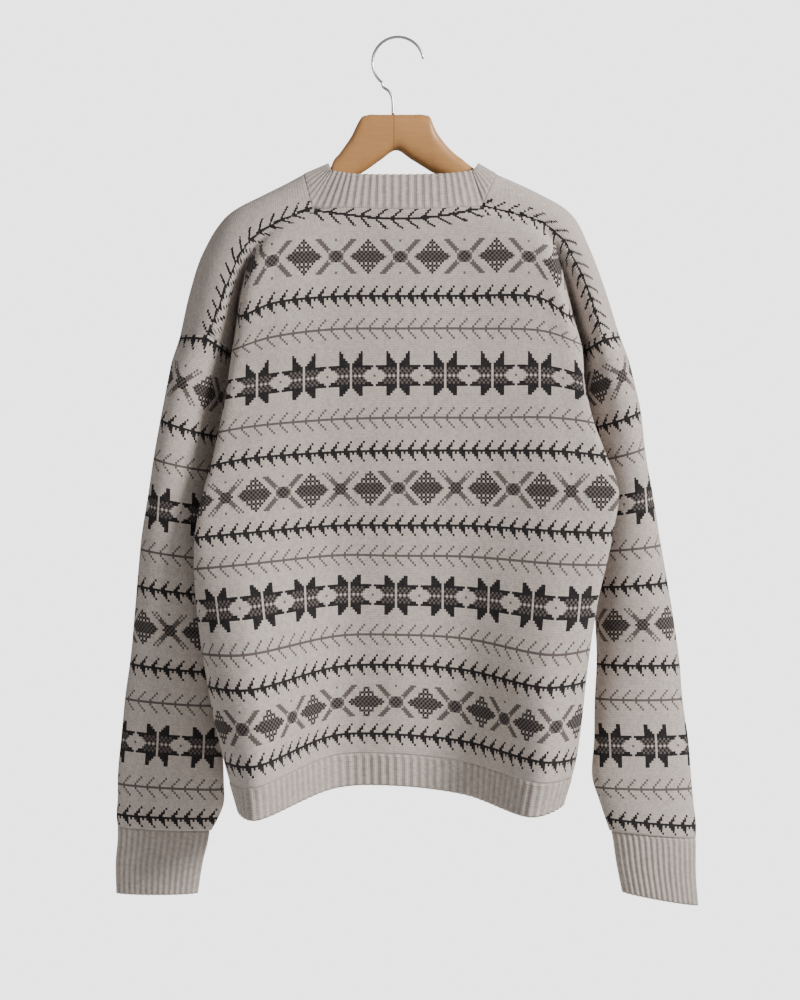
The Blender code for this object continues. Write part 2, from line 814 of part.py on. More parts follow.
def ribbed(grid, way_in):
    """Raises every other column of a ribbed piece's outer points."""
    outwards = -way_in / np.linalg.norm(way_in, axis=2, keepdims=True)
    height = np.where(np.arange(grid.shape[1]) % 2 == 1, RIB_HEIGHT / 2, -RIB_HEIGHT / 2)
    return grid + outwards * height[None, :, None]


def carried(points, edge, vectors):
    """The wall vectors of a seam's edge, read at other points along that seam."""
    start, span = edge[:-1], edge[1:] - edge[:-1]
    result = []
    for point in points:
        t = np.einsum("ij,ij->i", point - start, span) / np.einsum("ij,ij->i", span, span)
        t = np.clip(t, 0, 1)
        gaps = np.linalg.norm(start + span * t[:, None] - point, axis=1)
        k = int(np.argmin(gaps))
        result.append((1 - t[k]) * vectors[k] + t[k] * vectors[k + 1])
    return np.array(result)


def own_vectors(grid, closed, thickness):
    """Wall vectors of a grid on its own."""
    panel = Panel(grid, closed=closed)
    total = np.zeros_like(grid)
    for cell, corner in panel.corners():
        total[corner] += panel.faces[cell]
    return -total / np.linalg.norm(total, axis=2, keepdims=True) * thickness


def rib_vectors(grid, seam_row, edge, vectors, closed=False):
    """Wall vectors of a ribbed piece: its row at the seam takes those of the seam's edge."""
    way_in = own_vectors(grid, closed, RIB_WALL)
    way_in[seam_row] = carried(grid[seam_row], edge, vectors)
    return way_in


def merged(runs):
    """Runs of points as one run, each starting with the last point of the one before."""
    return np.concatenate([runs[0], *[run[1:] for run in runs[1:]]])


def evenly(points, count):
    """Count + 1 points at even distances along a polyline."""
    lengths = np.linalg.norm(np.diff(points, axis=0), axis=1)
    along = np.concatenate([[0], np.cumsum(lengths)])
    at = np.linspace(0, along[-1], count + 1)
    return np.stack([np.interp(at, along, points[:, k]) for k in range(3)], axis=1)


def pulled_in(grid, distance):
    """A grid whose first and last columns are drawn back along their rows."""
    grid = grid.copy()
    for edge, within in ((0, 1), (-1, -2)):
        way = grid[:, within] - grid[:, edge]
        grid[:, edge] += way / np.linalg.norm(way, axis=1, keepdims=True) * distance
    return grid


def hem_rows():
    """The whole hem from the left front's edge round the back to the right front's edge."""
    back_cells, front_cells = tuple(6 * n for n in BACK_CELLS), tuple(6 * n for n in FRONT_CELLS)
    side_cells = 6 * SIDE_CELLS
    rows = []
    for course in np.linspace(HEM_SEAM, HEM_END, HEM_ROWS + 1):
        left = front_section("left", course, front_cells, side_cells)[::-1]
        middle = back_section(course, back_cells, side_cells)
        right = front_section("right", course, front_cells, side_cells)
        runs = [evenly(left, 2 * FRONT_HEM_RIBS), evenly(middle, 2 * BACK_HEM_RIBS)]
        rows.append(merged([*runs, evenly(right, 2 * FRONT_HEM_RIBS)]))
    rows[0] = rows[0] - np.array([0, 0, RIB_SEAM])
    return np.array(rows)


def neckband_rows(edge):
    """Rows from the neckband's top edge down to its seam."""
    seam = evenly(edge, 2 * NECK_RIBS)
    top_x = np.interp(seam[:, 0], NECK_SEAM_X, NECK_TOP_X)
    top_y = seam[:, 1] * NECK_TOP_Y
    behind = np.clip(top_y / top_y.min(), 0, 1)
    before = np.clip(top_y / top_y.max(), 0, 1)
    drop = NECK_SIDE_TOP + NECK_BACK_FALL * behind**2 + NECK_FRONT_FALL * before**2
    top = np.stack([top_x, top_y, -drop], axis=1)
    rise = top - seam
    start = seam + rise / np.linalg.norm(rise, axis=1, keepdims=True) * RIB_SEAM
    shares = np.linspace(0, 1, NECK_ROWS + 1)[:, None, None]
    return top + (start - top) * shares


def build_cloth():
    """The knitted panels, caps and sleeves, and the ribbed pieces that hang from them."""
    grid = back_grid()
    panels = {"back": Panel(grid, strip_cells(grid.shape[1], True))}
    for side in ("left", "right"):
        front = front_grid(side)
        cells = strip_cells(front.shape[1], False)
        cap = cap_grid(side)
        behind = grid if side == "left" else grid[:, ::-1]
        strips = [row[YOKE_ROWS, : STRIP_CELLS + 1] for row in (front, behind)]
        tube = sleeve_grid(side, np.concatenate([cap[-1, :-1], strips[0], strips[1][-2:0:-1]]))
        if side == "left":
            front, cells, cap, tube = front[:, ::-1], cells[:, ::-1], cap[:, ::-1], tube[:, ::-1]
        panels[f"front_{side}"] = Panel(front, cells)
        panels[f"shoulder_{side}"] = Panel(cap)
        panels[f"sleeve_{side}"] = Panel(tube, closed=True)
    ways = dict(zip(panels, wall_vectors(panels.values())))
    for side, outward in (("left", -WALL), ("right", WALL)):
        meet = np.linalg.norm(panels[f"sleeve_{side}"].grid[0] - armpit_point(side), axis=1)
        ways[f"sleeve_{side}"][0, np.argmin(meet)] = (outward, 0, -1)
    ways["front_left"][:, 0, 0] = 0
    ways["front_right"][:, -1, 0] = 0
    for name, panel in panels.items():
        outer = panel.grid + drawn_back(panel, SEAM / 2)
        shell(name, outer, outer + ways[name], "wool", cells=panel.cells, closed=panel.closed)
    build_hems(panels, ways)
    build_cuffs(panels, ways)
    build_neckband(panels, ways)


def build_hems(panels, ways):
    """The hem is knitted on in three stretches, with seams at the sides."""
    inner = slice(STRIP_CELLS, -STRIP_CELLS)
    runs = []
    for source in ({name: panel.grid for name, panel in panels.items()}, ways):
        left = source["front_left"][-1, :-STRIP_CELLS]
        right = source["front_right"][-1, STRIP_CELLS:]
        runs.append(merged([left, source["back"][-1, inner], right]))
    grid = hem_rows()
    way_in = rib_vectors(grid, 0, *runs)
    way_in[:, 0, 0] = way_in[:, -1, 0] = 0
    first, second = 2 * FRONT_HEM_RIBS, 2 * (FRONT_HEM_RIBS + BACK_HEM_RIBS)
    stretches = {
        "hem_front_left": slice(0, first + 1),
        "hem_back": slice(first, second + 1),
        "hem_front_right": slice(second, None),
    }
    for name, stretch in stretches.items():
        rows, walls = pulled_in(grid[:, stretch], SEAM / 2), way_in[:, stretch]
        shell(name, ribbed(rows, walls), (rows + walls)[:, ::2], "rib", step=2)


def build_cuffs(panels, ways):
    for side in ("left", "right"):
        grid = cuff_grid(side, 2 * CUFF_RIBS)
        if side == "left":
            grid = grid[:, ::-1]
        edge = panels[f"sleeve_{side}"].grid[-1]
        vectors = ways[f"sleeve_{side}"][-1]
        edge = np.concatenate([edge, edge[:1]])
        vectors = np.concatenate([vectors, vectors[:1]])
        way_in = rib_vectors(grid, 0, edge, vectors, closed=True)
        inner = (grid + way_in)[:, ::2]
        shell(f"cuff_{side}", ribbed(grid, way_in), inner, "rib", step=2, closed=True)


def build_neckband(panels, ways):
    """Its seam runs from the left front's edge round the back to the right front's edge."""
    order = ("front_left", "shoulder_left", "back", "shoulder_right", "front_right")
    edge = merged([panels[name].grid[0] for name in order])
    grid = neckband_rows(edge)
    way_in = rib_vectors(grid, -1, edge, merged([ways[name][0] for name in order]))
    way_in[:, 0, 0] = way_in[:, -1, 0] = 0
    grid = pulled_in(grid, SEAM / 2)
    shell("neckband", ribbed(grid, way_in), (grid + way_in)[:, ::2], "rib", step=2)


def build_bands():
    """The two front bands, one over the other, and the buttons on the upper one."""
    table = np.array(FRONT_CENTRE)
    drops = np.concatenate([[NECK_FRONT_TOP], table[:, 3]])
    depths = np.concatenate([[table[0, 2] * NECK_TOP_Y], table[:, 2]])
    levels = np.linspace(NECK_FRONT_TOP, HEM_END + 1, BAND_ROWS + 1)
    across_x = np.linspace(HALF_BAND, -HALF_BAND, 2 * BAND_RIBS + 1)
    for name, lift in (("button_band", 0.0), ("buttonhole_band", BAND_LIFT)):
        face = through(drops, depths, levels) + lift
        grid = np.array([[(x, y, -level) for x in across_x] for level, y in zip(levels, face)])
        way_in = own_vectors(grid, False, WALL)
        shell(name, ribbed(grid, way_in), (grid + way_in)[:, ::2], "rib", step=2)
    for k, drop in enumerate(np.linspace(FIRST_BUTTON, LAST_BUTTON, BUTTONS)):
        before, y, after = through(drops, depths, [drop - 5, drop, drop + 5])
        build_button(f"button_{k + 1}", drop, y + BAND_LIFT, (after - before) / 10)


def solid_of_rings(name, rings, colour, smooth=True):
    """A closed solid through rings of points, with a flat face at each end. The rings turn
    to the right about the way they advance."""
    count, sides = len(rings), len(rings[0])
    faces = []
    for r in range(count - 1):
        for k in range(sides):
            a, b = r * sides + k, r * sides + (k + 1) % sides
            faces.append((a, b, b + sides, a + sides))
    faces.append(tuple(range(sides))[::-1])
    faces.append(tuple(range((count - 1) * sides, count * sides)))
    mesh = bpy.data.meshes.new(name)
    mesh.from_pydata([tuple(point * MM) for ring in rings for point in ring], [], faces)
    mesh.validate()
    finish(mesh, name, colour, smooth)


def build_button(name, drop, y, slope):
    """A round button with a raised rim, turned about its axis."""
    turns = np.linspace(0, 2 * pi, BUTTON_SIDES, endpoint=False)[:, None]
    out = np.array([0, 1, slope]) / sqrt(1 + slope**2)
    up = np.array([0, -slope, 1]) / sqrt(1 + slope**2)
    spokes = np.cos(turns) * np.array([-1, 0, 0]) + np.sin(turns) * up
    seat = np.array([0, y, -drop]) + out * (RIB_HEIGHT / 2 + 0.3)
    rings = [
        seat + spokes * radius * BUTTON_RADIUS + out * height * BUTTON_THICKNESS
        for radius, height in BUTTON_PROFILE
    ]
    solid_of_rings(name, rings, "horn", smooth=False)


def hanger_stations():
    """The hanger as (x, top, bottom, half thickness), from left to right."""
    arms = {}
    for side in ("left", "right"):
        arms[side] = []
        for reach in ARM:
            point = place(RIDGES[side], reach.course)
            top = -point[2] + HANGER_SEAT + reach.lower
            arms[side].append((point[0], top, top + reach.depth, reach.half_thickness))
    block = [(*station, BLOCK_HALF_THICKNESS) for station in HANGER]
    return arms["left"][::-1] + block + arms["right"]


def build_hanger():
    """The wooden hanger: rounded sections from one arm's end to the other."""
    turns = np.linspace(0, 2 * pi, HANGER_SIDES, endpoint=False)
    power = 2 / HANGER_SQUARENESS
    wide = np.sign(np.cos(turns)) * np.abs(np.cos(turns)) ** power
    high = np.sign(np.sin(turns)) * np.abs(np.sin(turns)) ** power
    rings = []
    for x, top, bottom, half_thickness in hanger_stations():
        z = -(top + bottom) / 2 + high * (bottom - top) / 2
        rings.append(np.stack([np.full(HANGER_SIDES, x), wide * half_thickness, z], axis=1))
    solid_of_rings("hanger", rings, "beech")


def build_hook():
    """The wire hook: an arc over the peg, and a shank down to the block."""
    bends = [radians(turn) for turn in range(HOOK_TIP_ANGLE, HOOK_TURN_ANGLE, 14)]
    centre = -(HOOK_RADIUS - WIRE_RADIUS)
    route = [
        (HOOK_CENTRE_X + HOOK_RADIUS * cos(turn), centre + HOOK_RADIUS * sin(turn))
        for turn in bends
    ]
    route += [(x, -drop) for x, drop in SHANK]
    route = np.array([(x, 0, z) for x, z in route])
    turns = np.linspace(0, 2 * pi, WIRE_SIDES, endpoint=False)[:, None]
    rings = []
    for k, point in enumerate(route):
        along = route[min(k + 1, len(route) - 1)] - route[max(k - 1, 0)]
        along = along / np.linalg.norm(along)
        across_wire = np.array([-along[2], 0, along[0]])
        side = np.array([0.0, 1.0, 0.0])
        rings.append(point + WIRE_RADIUS * (np.cos(turns) * across_wire - np.sin(turns) * side))
    solid_of_rings("hanger_hook", rings, "wire")


def main():
    clear_scene()
    build_cloth()
    build_bands()
    build_hanger()
    build_hook()


main()
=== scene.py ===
"""Looks of a knitted nordic cardigan that hangs on a wooden hanger with its back to the camera.

Lengths in the tables are millimetres. A drop is a distance below the inside top of the hook,
which is the origin, and a course is a knitted row, named by its drop at the centre back.
"""

import logging
from collections.abc import Sequence
from dataclasses import dataclass, field
from enum import Enum
from math import cos, pi, sin, sqrt
from typing import NamedTuple

import bpy
import numpy as np
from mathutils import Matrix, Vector

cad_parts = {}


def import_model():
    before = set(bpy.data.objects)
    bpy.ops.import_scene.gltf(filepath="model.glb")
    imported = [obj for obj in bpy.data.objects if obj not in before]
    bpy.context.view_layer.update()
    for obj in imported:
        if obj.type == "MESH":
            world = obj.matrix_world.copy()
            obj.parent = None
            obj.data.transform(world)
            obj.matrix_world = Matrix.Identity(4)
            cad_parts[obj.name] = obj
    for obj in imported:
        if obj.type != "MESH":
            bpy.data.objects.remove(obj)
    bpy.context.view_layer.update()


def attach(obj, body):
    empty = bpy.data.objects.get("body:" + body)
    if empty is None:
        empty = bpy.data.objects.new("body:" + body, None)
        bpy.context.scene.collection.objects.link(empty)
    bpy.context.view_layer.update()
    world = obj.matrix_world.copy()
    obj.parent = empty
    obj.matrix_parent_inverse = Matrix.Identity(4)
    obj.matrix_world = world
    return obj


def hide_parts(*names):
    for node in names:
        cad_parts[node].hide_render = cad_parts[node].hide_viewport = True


LOG = logging.getLogger("cardigan")

MM = 0.001

# Walls of the plain and the ribbed knitting, and the size of one stitch
WALL, RIB_WALL = 2.4, 2.6
STITCH, ROW = 2.2, 2.4

# Courses where the pieces start and end
YOKE_TOP, ARMPIT, HEM_SEAM, HEM_END = 186.0, 310.0, 748.0, 781.0
# Down to this course the vines run nearly along the rows, which are cut finer for them
FINE_END = 222.0

# Half width of the front bands, how far the upper one lies over the lower, the gap to the
# fronts, and the length of their cells
HALF_BAND, BAND_LIFT, BAND_GAP, BAND_STEP = 15.0, 3.3, 0.2, 3.0

# Cells between the lines across the back and a front, down an armhole's turned-in edge, round
# an armhole's lower half and round a whole armhole
BACK_CELLS = (16, 30, 30, 24, 24, 30, 30, 16)
BACK_MIDDLE = sum(BACK_CELLS[:4])
FRONT_CELLS = (20, 50, 50)
STRIP_CELLS, ARMPIT_CELLS, ARMHOLE_CELLS = 12, 20, 200

# Ribs of each ribbed piece, their height, and over what length they rise from the seam
RIBS = {"hem_back": 72, "hem_front": 24, "cuff": 32, "neckband": 74, "band": 5}
STEPS_PER_RIB, RIB_HEIGHT, RIB_RISE = 6, 1.5, 4.0

# The armholes' vines: how far their branches reach, how far apart they are, half the width of
# stem and branch, and how many points their lines have
VINE_REACH, VINE_PITCH = 10.5, 13.2
HALF_STEM, HALF_BRANCH, VINE_POINTS = 1.4, 1.5, 60
# The vine under the neckband: its ends, its fall at the middle, and its branches' pitch
NECK_VINE_X, NECK_VINE_DIP, NECK_VINE_PITCH = (-86.3, 88.5), 9.0, 16.0

# Share of a panel's faces kept when its plain inside is made coarser
KEPT_SHARE = 0.76
# A stitch edge nearer than this to the end of its row moves onto the end
SNAP = 0.35
# Limits of a row that is patterned from end to end
EVERYWHERE = (-1e6, 1e6)

# The top of the neckband: its drop at the centre front, and its y as a share of the seam's
NECK_FRONT_TOP, NECK_TOP_SHARE = 196.0, 0.77

# The arms of the hanger under the shoulders' ridges: course of the ridge, how much lower the
# top lies, how deep the arm is, and half its thickness
ARM = (
    (186, 0, 27, 9.5),
    (198.4, 0, 25.5, 9.5),
    (210.8, 0, 23.5, 9.5),
    (223, 0, 21.5, 9.5),
    (230, 0.5, 20, 9),
    (233, 4.5, 12, 7),
    (233.6, 7.5, 6, 4),
)
# From the outside of the shoulders down to the wood
SEAT = WALL + 1.4

# The wire hook, and its shank's bends as x and drop
WIRE_RADIUS = 1.5
HOOK_CENTRE_X, HOOK_RADIUS = 2.1, 26.8
HOOK_TIP_ANGLE, HOOK_TURN_ANGLE = 8, 236
SHANK = ((-13.5, 50.8), (-7.5, 55.5), (-4.2, 62), (-3.4, 69), (-3.2, 79.9))

# Buttons, and their turned profile as shares of radius and thickness, from seat to face
BUTTON_RADIUS, BUTTON_THICKNESS, BUTTONS = 9.0, 3.2, 7
FIRST_BUTTON, LAST_BUTTON = 213.0, 763.0
BUTTON_PROFILE = (
    (0.001, 0.0),
    (0.80, 0.0),
    (0.97, 0.25),
    (1.0, 0.5),
    (0.98, 0.8),
    (0.9, 1.0),
    (0.8, 0.95),
    (0.72, 0.72),
    (0.001, 0.66),
)


class Knot(NamedTuple):
    """One place on a line that runs down the garment."""

    course: float
    x: float
    y: float
    drop: float


class Section(NamedTuple):
    """One level of a sleeve."""

    drop: float
    outer: float
    half_x: float
    half_y: float
    lean: float
    y: float
    tilt: float


class Fold(NamedTuple):
    """A soft vertical fold of the fronts."""

    x: float
    half_width: float
    depth: float


class Station(NamedTuple):
    """One section of the hanger."""

    x: float
    top: float
    bottom: float
    half_thickness: float


class Side(Enum):
    """The wearer's sides."""

    LEFT = "left"
    RIGHT = "right"

    @property
    def sign(self) -> int:
        """Minus one on the left, where x is negative."""
        return -1 if self is Side.LEFT else 1


class Motif(Enum):
    """The patterns of the bands."""

    STAR = "star"
    DIAMOND = "diamond"
    DARK_VINE = "dark vine"
    BROWN_VINE = "brown vine"


class Yarn(float, Enum):
    """The yarns, as the values that the wool's material reads for each stitch."""

    GROUND = 0.0
    BROWN = 0.5
    CHARCOAL = 1.0


class Band(NamedTuple):
    """One patterned band: the course of its middle row, its repeat and shift in stitches."""

    course: float
    motif: Motif
    repeat: int = 6
    shift: int = 0


class Seam(Enum):
    """Which edge of a ribbed piece is joined to the plain knitting, where its ribs begin."""

    TOP = 1
    BOTTOM = -1
    NONE = 0


class Cut(NamedTuple):
    """The flat size that a piece was knitted to, in metres and square metres."""

    width: float
    length: float
    area: float


class Lamp(NamedTuple):
    """A soft square light that points at the middle of the garment."""

    name: str
    at: tuple[float, float, float]
    size: float
    watts: float


# Lines down the back, from the left armhole's vine to the right one's
BACK_LINES = {
    "vine_left": (
        Knot(186, -86.5, -37, 184), Knot(198.4, -117.5, -39, 196.5), Knot(210.8, -138, -40, 207.5),
        Knot(235.6, -159.5, -42, 231.5), Knot(260.4, -172, -43, 259), Knot(285.2, -182, -43, 287),
        Knot(310, -193, -42, 315),
    ),
    "groove_left": (
        Knot(186, -81, -38, 184.5), Knot(198.4, -113, -41, 198), Knot(210.8, -131.5, -39, 210),
        Knot(235.6, -153, -29, 238.5), Knot(260.4, -162.5, -16, 267.5), Knot(285.2, -167, -11, 297),
        Knot(297.6, -169, -6, 313), Knot(310, -171, 7, 330),
    ),
    "edge_left": (
        Knot(186, -76, -39, 185), Knot(198.4, -106.5, -43, 198.5), Knot(210.8, -123, -46, 213),
        Knot(235.6, -145, -50, 245), Knot(260.4, -154.5, -50, 277), Knot(285.2, -159.5, -48, 307.5),
        Knot(310, -165, -46, 331), Knot(356, -172, -46, 370), Knot(400, -181.5, -46, 415),
        Knot(433, -189.5, -48, 449), Knot(471, -199.5, -50, 485), Knot(510, -205.5, -52, 522.5),
        Knot(584, -203.5, -52, 599), Knot(655, -191.5, -60, 674), Knot(693, -184, -62, 712.5),
        Knot(727, -175, -62, 750), Knot(782, -160.5, -62, 802),
    ),
    "crest_left": (
        Knot(186, -62, -41.5, 184.5), Knot(210.8, -96, -47, 211), Knot(235.6, -118, -51, 238.5),
        Knot(260.4, -124, -52, 267), Knot(310, -131, -50, 320), Knot(356, -137, -50, 365.5),
        Knot(433, -154, -54, 442), Knot(510, -158.5, -62, 518), Knot(584, -157, -78, 595),
        Knot(624, -151.5, -86, 640.5), Knot(655, -148, -93, 675), Knot(693, -141.5, -98, 712.5),
        Knot(727, -141, -102, 750), Knot(782, -140, -106, 805),
    ),
    "recess_left": (
        Knot(186, -47, -43, 184.5), Knot(310, -67.5, -46, 311), Knot(433, -68, -42, 435),
        Knot(584, -58, -32, 583.5), Knot(655, -60, -29, 657), Knot(727, -63, -27, 728),
        Knot(782, -60, -26, 784),
    ),
    "centre": (
        Knot(186, 0, -44, 186), Knot(310, 0, -46, 310), Knot(433, 0, -42, 433),
        Knot(584, 0, -33, 584), Knot(655, 0, -30, 655), Knot(782, 0, -27, 782),
    ),
    "recess_right": (
        Knot(186, 45, -43, 185), Knot(310, 76, -46, 310), Knot(433, 86.5, -42, 433),
        Knot(584, 69.5, -32, 586), Knot(655, 69.5, -29, 660), Knot(727, 69.5, -27, 734),
        Knot(782, 69.5, -26, 791),
    ),
    "crest_right": (
        Knot(186, 66, -41.5, 183.5), Knot(210.8, 118, -47, 209.5), Knot(235.6, 138, -51, 236.5),
        Knot(260.4, 145, -52, 262.5), Knot(310, 152, -50, 313), Knot(356, 160, -50, 357),
        Knot(433, 168, -52, 434), Knot(510, 172.5, -58, 516), Knot(584, 166.5, -66, 595.5),
        Knot(624, 158, -74, 641.5), Knot(655, 152, -82, 673.5), Knot(693, 150, -88, 712.5),
        Knot(727, 149.5, -93, 747), Knot(782, 136, -98, 803),
    ),
    "edge_right": (
        Knot(186, 80.5, -39, 183), Knot(198.4, 131.5, -43, 198), Knot(210.8, 148, -46, 214.5),
        Knot(235.6, 163, -50, 246), Knot(260.4, 172, -50, 279), Knot(285.2, 180, -48, 305.5),
        Knot(310, 187, -46, 324.5), Knot(356, 193, -46, 365.5), Knot(400, 203, -46, 405.5),
        Knot(433, 216, -46, 439), Knot(471, 228.5, -48, 475.5), Knot(510, 222.5, -50, 517.5),
        Knot(584, 205.5, -52, 594), Knot(655, 194, -56, 669.5), Knot(693, 190, -58, 706),
        Knot(727, 184.5, -58, 746.5), Knot(782, 170.5, -58, 796.5),
    ),
    "groove_right": (
        Knot(186, 84.5, -38, 182.5), Knot(198.4, 139, -41, 197), Knot(210.8, 157.5, -39, 212.5),
        Knot(235.6, 172, -29, 241.5), Knot(260.4, 181.5, -16, 271), Knot(285.2, 188.5, -11, 298),
        Knot(297.6, 192, -6, 311), Knot(310, 194.5, 7, 324),
    ),
    "vine_right": (
        Knot(186, 88.5, -37, 181.5), Knot(198.4, 143, -39, 196), Knot(210.8, 164.5, -40, 210),
        Knot(235.6, 183, -42, 238), Knot(260.4, 194.5, -43, 262.5), Knot(285.2, 203.5, -43, 287.5),
        Knot(310, 211.5, -42, 314),
    ),
}

# Lines down the fronts, in the same order
FRONT_LINES = {
    "vine_left": (
        Knot(186, -86.5, 36, 190), Knot(198.4, -117, 42, 202), Knot(210.8, -138, 46, 214),
        Knot(235.6, -160, 52, 238), Knot(260.4, -172, 57, 264), Knot(285.2, -182, 61, 290),
        Knot(310, -193, 63, 315),
    ),
    "groove_left": (
        Knot(186, -81, 37, 193), Knot(198.4, -113, 42, 205), Knot(210.8, -131, 43, 217),
        Knot(235.6, -150, 38, 243), Knot(260.4, -160, 29, 270), Knot(285.2, -166, 25, 299),
        Knot(297.6, -168.5, 20, 314), Knot(310, -171, 7, 330),
    ),
    "corner_left": (
        Knot(186, -74, 39, 199), Knot(210.8, -118, 50, 224), Knot(235.6, -136, 53, 249),
        Knot(260.4, -144, 54, 276), Knot(310, -150, 49, 330), Knot(400, -146, 50, 414),
        Knot(542, -150, 54, 552), Knot(623, -146, 56, 640), Knot(748, -134, 60, 768),
        Knot(781, -130, 61, 800),
    ),
    "mid_left": (
        Knot(186, -48, 45.5, 218), Knot(210.8, -66, 52, 238), Knot(260.4, -78, 56, 281),
        Knot(310, -80, 57, 318), Knot(433, -80, 58, 440), Knot(584, -80, 60, 590),
        Knot(748, -74, 62, 756), Knot(781, -72, 63, 789),
    ),
    "mid_right": (
        Knot(186, 48, 45.5, 218), Knot(210.8, 72, 52, 237), Knot(260.4, 86, 56, 280),
        Knot(310, 90, 57, 317), Knot(433, 88, 58, 438), Knot(584, 84, 60, 588),
        Knot(748, 78, 62, 755), Knot(781, 76, 63, 788),
    ),
    "corner_right": (
        Knot(186, 76, 39, 198), Knot(210.8, 140, 50, 222), Knot(235.6, 155, 53, 248),
        Knot(260.4, 162, 54, 275), Knot(310, 170, 49, 324), Knot(400, 164, 50, 410),
        Knot(542, 164, 54, 550), Knot(623, 156, 56, 637), Knot(748, 144, 60, 765),
        Knot(781, 140, 61, 797),
    ),
    "groove_right": (
        Knot(186, 84.5, 37, 191), Knot(198.4, 139, 42, 204), Knot(210.8, 157, 43, 217),
        Knot(235.6, 171, 38, 244), Knot(260.4, 181, 29, 272), Knot(285.2, 188.5, 25, 299),
        Knot(297.6, 192, 20, 311.5), Knot(310, 194.5, 7, 324),
    ),
    "vine_right": (
        Knot(186, 88.5, 36, 188), Knot(198.4, 143, 43, 201), Knot(210.8, 165, 47, 215),
        Knot(235.6, 183, 53, 241), Knot(260.4, 194.5, 58, 265), Knot(285.2, 203.5, 61, 289),
        Knot(310, 211.5, 63, 314),
    ),
}

# The fronts' edges beside the bands: x is set by the band's half width
FRONT_CENTRE = (
    Knot(186, 0, 50, 228), Knot(248, 0, 56, 269), Knot(310, 0, 58, 312),
    Knot(433, 0, 59, 434), Knot(584, 0, 60, 585), Knot(748, 0, 62, 749),
    Knot(781, 0, 63, 782),
)

# The side seams below the armpits
SIDE_SEAMS = {
    "left": (
        Knot(310, -171, 7, 330), Knot(356, -168, 7, 370), Knot(400, -166, 7, 414),
        Knot(471, -172, 7, 483), Knot(542, -176, 7, 552), Knot(623, -170, 7, 640),
        Knot(693, -162, 7, 709), Knot(748, -152, 7, 768), Knot(781, -146, 7, 800),
    ),
    "right": (
        Knot(310, 194.5, 7, 324), Knot(356, 187, 7, 365), Knot(400, 184, 7, 406),
        Knot(471, 186, 7, 476), Knot(542, 180, 7, 549), Knot(623, 172, 7, 637),
        Knot(693, 166, 7, 706), Knot(748, 158, 7, 765), Knot(781, 151, 7, 797),
    ),
}

# The top lines of the shoulders, from the neckband to the sleeves
RIDGES = {
    "left": (
        Knot(186, -97.5, 0, 144), Knot(198.4, -117.5, 0, 155), Knot(210.8, -137.5, 0, 165),
        Knot(235.6, -177.5, 2, 187.5), Knot(260.4, -203, 5, 226), Knot(285.2, -217.5, 8, 269),
        Knot(310, -227.5, 10, 313),
    ),
    "right": (
        Knot(186, 106, 0, 144), Knot(198.4, 127, 0, 153.5), Knot(210.8, 147, 0, 163),
        Knot(235.6, 183, 2, 184.5), Knot(260.4, 202, 5, 218.5), Knot(285.2, 218.5, 8, 260.5),
        Knot(310, 234, 10, 309),
    ),
}

# Soft vertical folds of the fronts: the depth is reached at the hem
FRONT_FOLDS = (
    Fold(-104, 26, 13),
    Fold(-48, 22, 9),
    Fold(52, 24, 11),
    Fold(112, 24, 12),
)
FOLDS_START, FOLDS_FULL = 300.0, 720.0

# Sleeve sections: outer is the x of the silhouette, lean moves the side near the camera
# outwards, and tilt is how much lower the outer or inner end of a course hangs
SLEEVES = {
    "left": (
        Section(358, -236, 28, 52, 0.15, 10, 12), Section(400, -244, 29, 50, 0.25, 10, 10),
        Section(443, -252, 31, 47, 0.35, 10, 8), Section(485, -259, 34, 43, 0.35, 10, 7),
        Section(527, -266.5, 37, 40, 0.30, 10, 6), Section(569, -271, 40, 36, 0.25, 9, 6),
        Section(611, -275, 43, 32, 0.20, 8, 5), Section(653, -279, 46, 27, 0.15, 7, 5),
        Section(695, -285, 49, 23, 0.10, 6, 4), Section(737, -289, 53, 20, 0.05, 5, 4),
        Section(780, -293, 56, 18, 0, 5, 3), Section(800, -293, 56, 17, 0, 5, 3),
        Section(821, -294, 52.5, 16, 0, 5, 2), Section(830, -293, 49.5, 15, 0, 5, 2),
    ),
    "right": (
        Section(358, 245.5, 25, 52, 0.15, 10, 12), Section(400, 255, 27, 50, 0.25, 10, 10),
        Section(443, 260, 28, 47, 0.35, 10, 8), Section(485, 268.5, 31, 43, 0.35, 10, 6),
        Section(527, 276, 34, 40, 0.30, 10, 4), Section(569, 284, 37, 36, 0.25, 9, 3),
        Section(611, 291.5, 40, 32, 0.20, 8, 2), Section(653, 298, 43, 27, 0.15, 7, 0),
        Section(695, 301.5, 46, 23, 0.10, 6, 0), Section(737, 307.5, 49.5, 20, 0.05, 5, 0),
        Section(780, 311, 52, 18, 0, 5, 0), Section(800, 313, 50, 17, 0, 5, -2),
        Section(826, 316, 47.5, 16, 0, 5, -4), Section(836, 315.5, 45.5, 15, 0, 5, -4),
    ),
}
# Cuff sections, just inside the sleeves' ends
CUFFS = {
    "left": (
        Section(830, -293, 48.5, 14, 0, 5, 2), Section(842, -293, 47.5, 14, 0, 5, 2),
        Section(864, -295, 46, 13.5, 0, 5, 0), Section(898, -294.5, 43, 13, 0, 5, 0),
    ),
    "right": (
        Section(836, 315.5, 44.5, 14, 0, 5, -4), Section(848, 315.5, 43.5, 14, 0, 5, -5),
        Section(870, 315.5, 42, 13.5, 0, 5, -6), Section(904, 318, 40, 13, 0, 5, -7),
    ),
}

# The neckband's top edge follows its seam: x by this table, y by a share of the seam's y
NECK_SEAM_X = (-97.5, -86.5, -50, -15.4, 15.4, 50, 88.5, 106)
NECK_TOP_X = (-70.5, -66, -44, -15.4, 15.4, 48, 78, 86)
NECK_SIDE_TOP, NECK_BACK_FALL, NECK_FRONT_FALL = 132.0, 16.3, 64.0

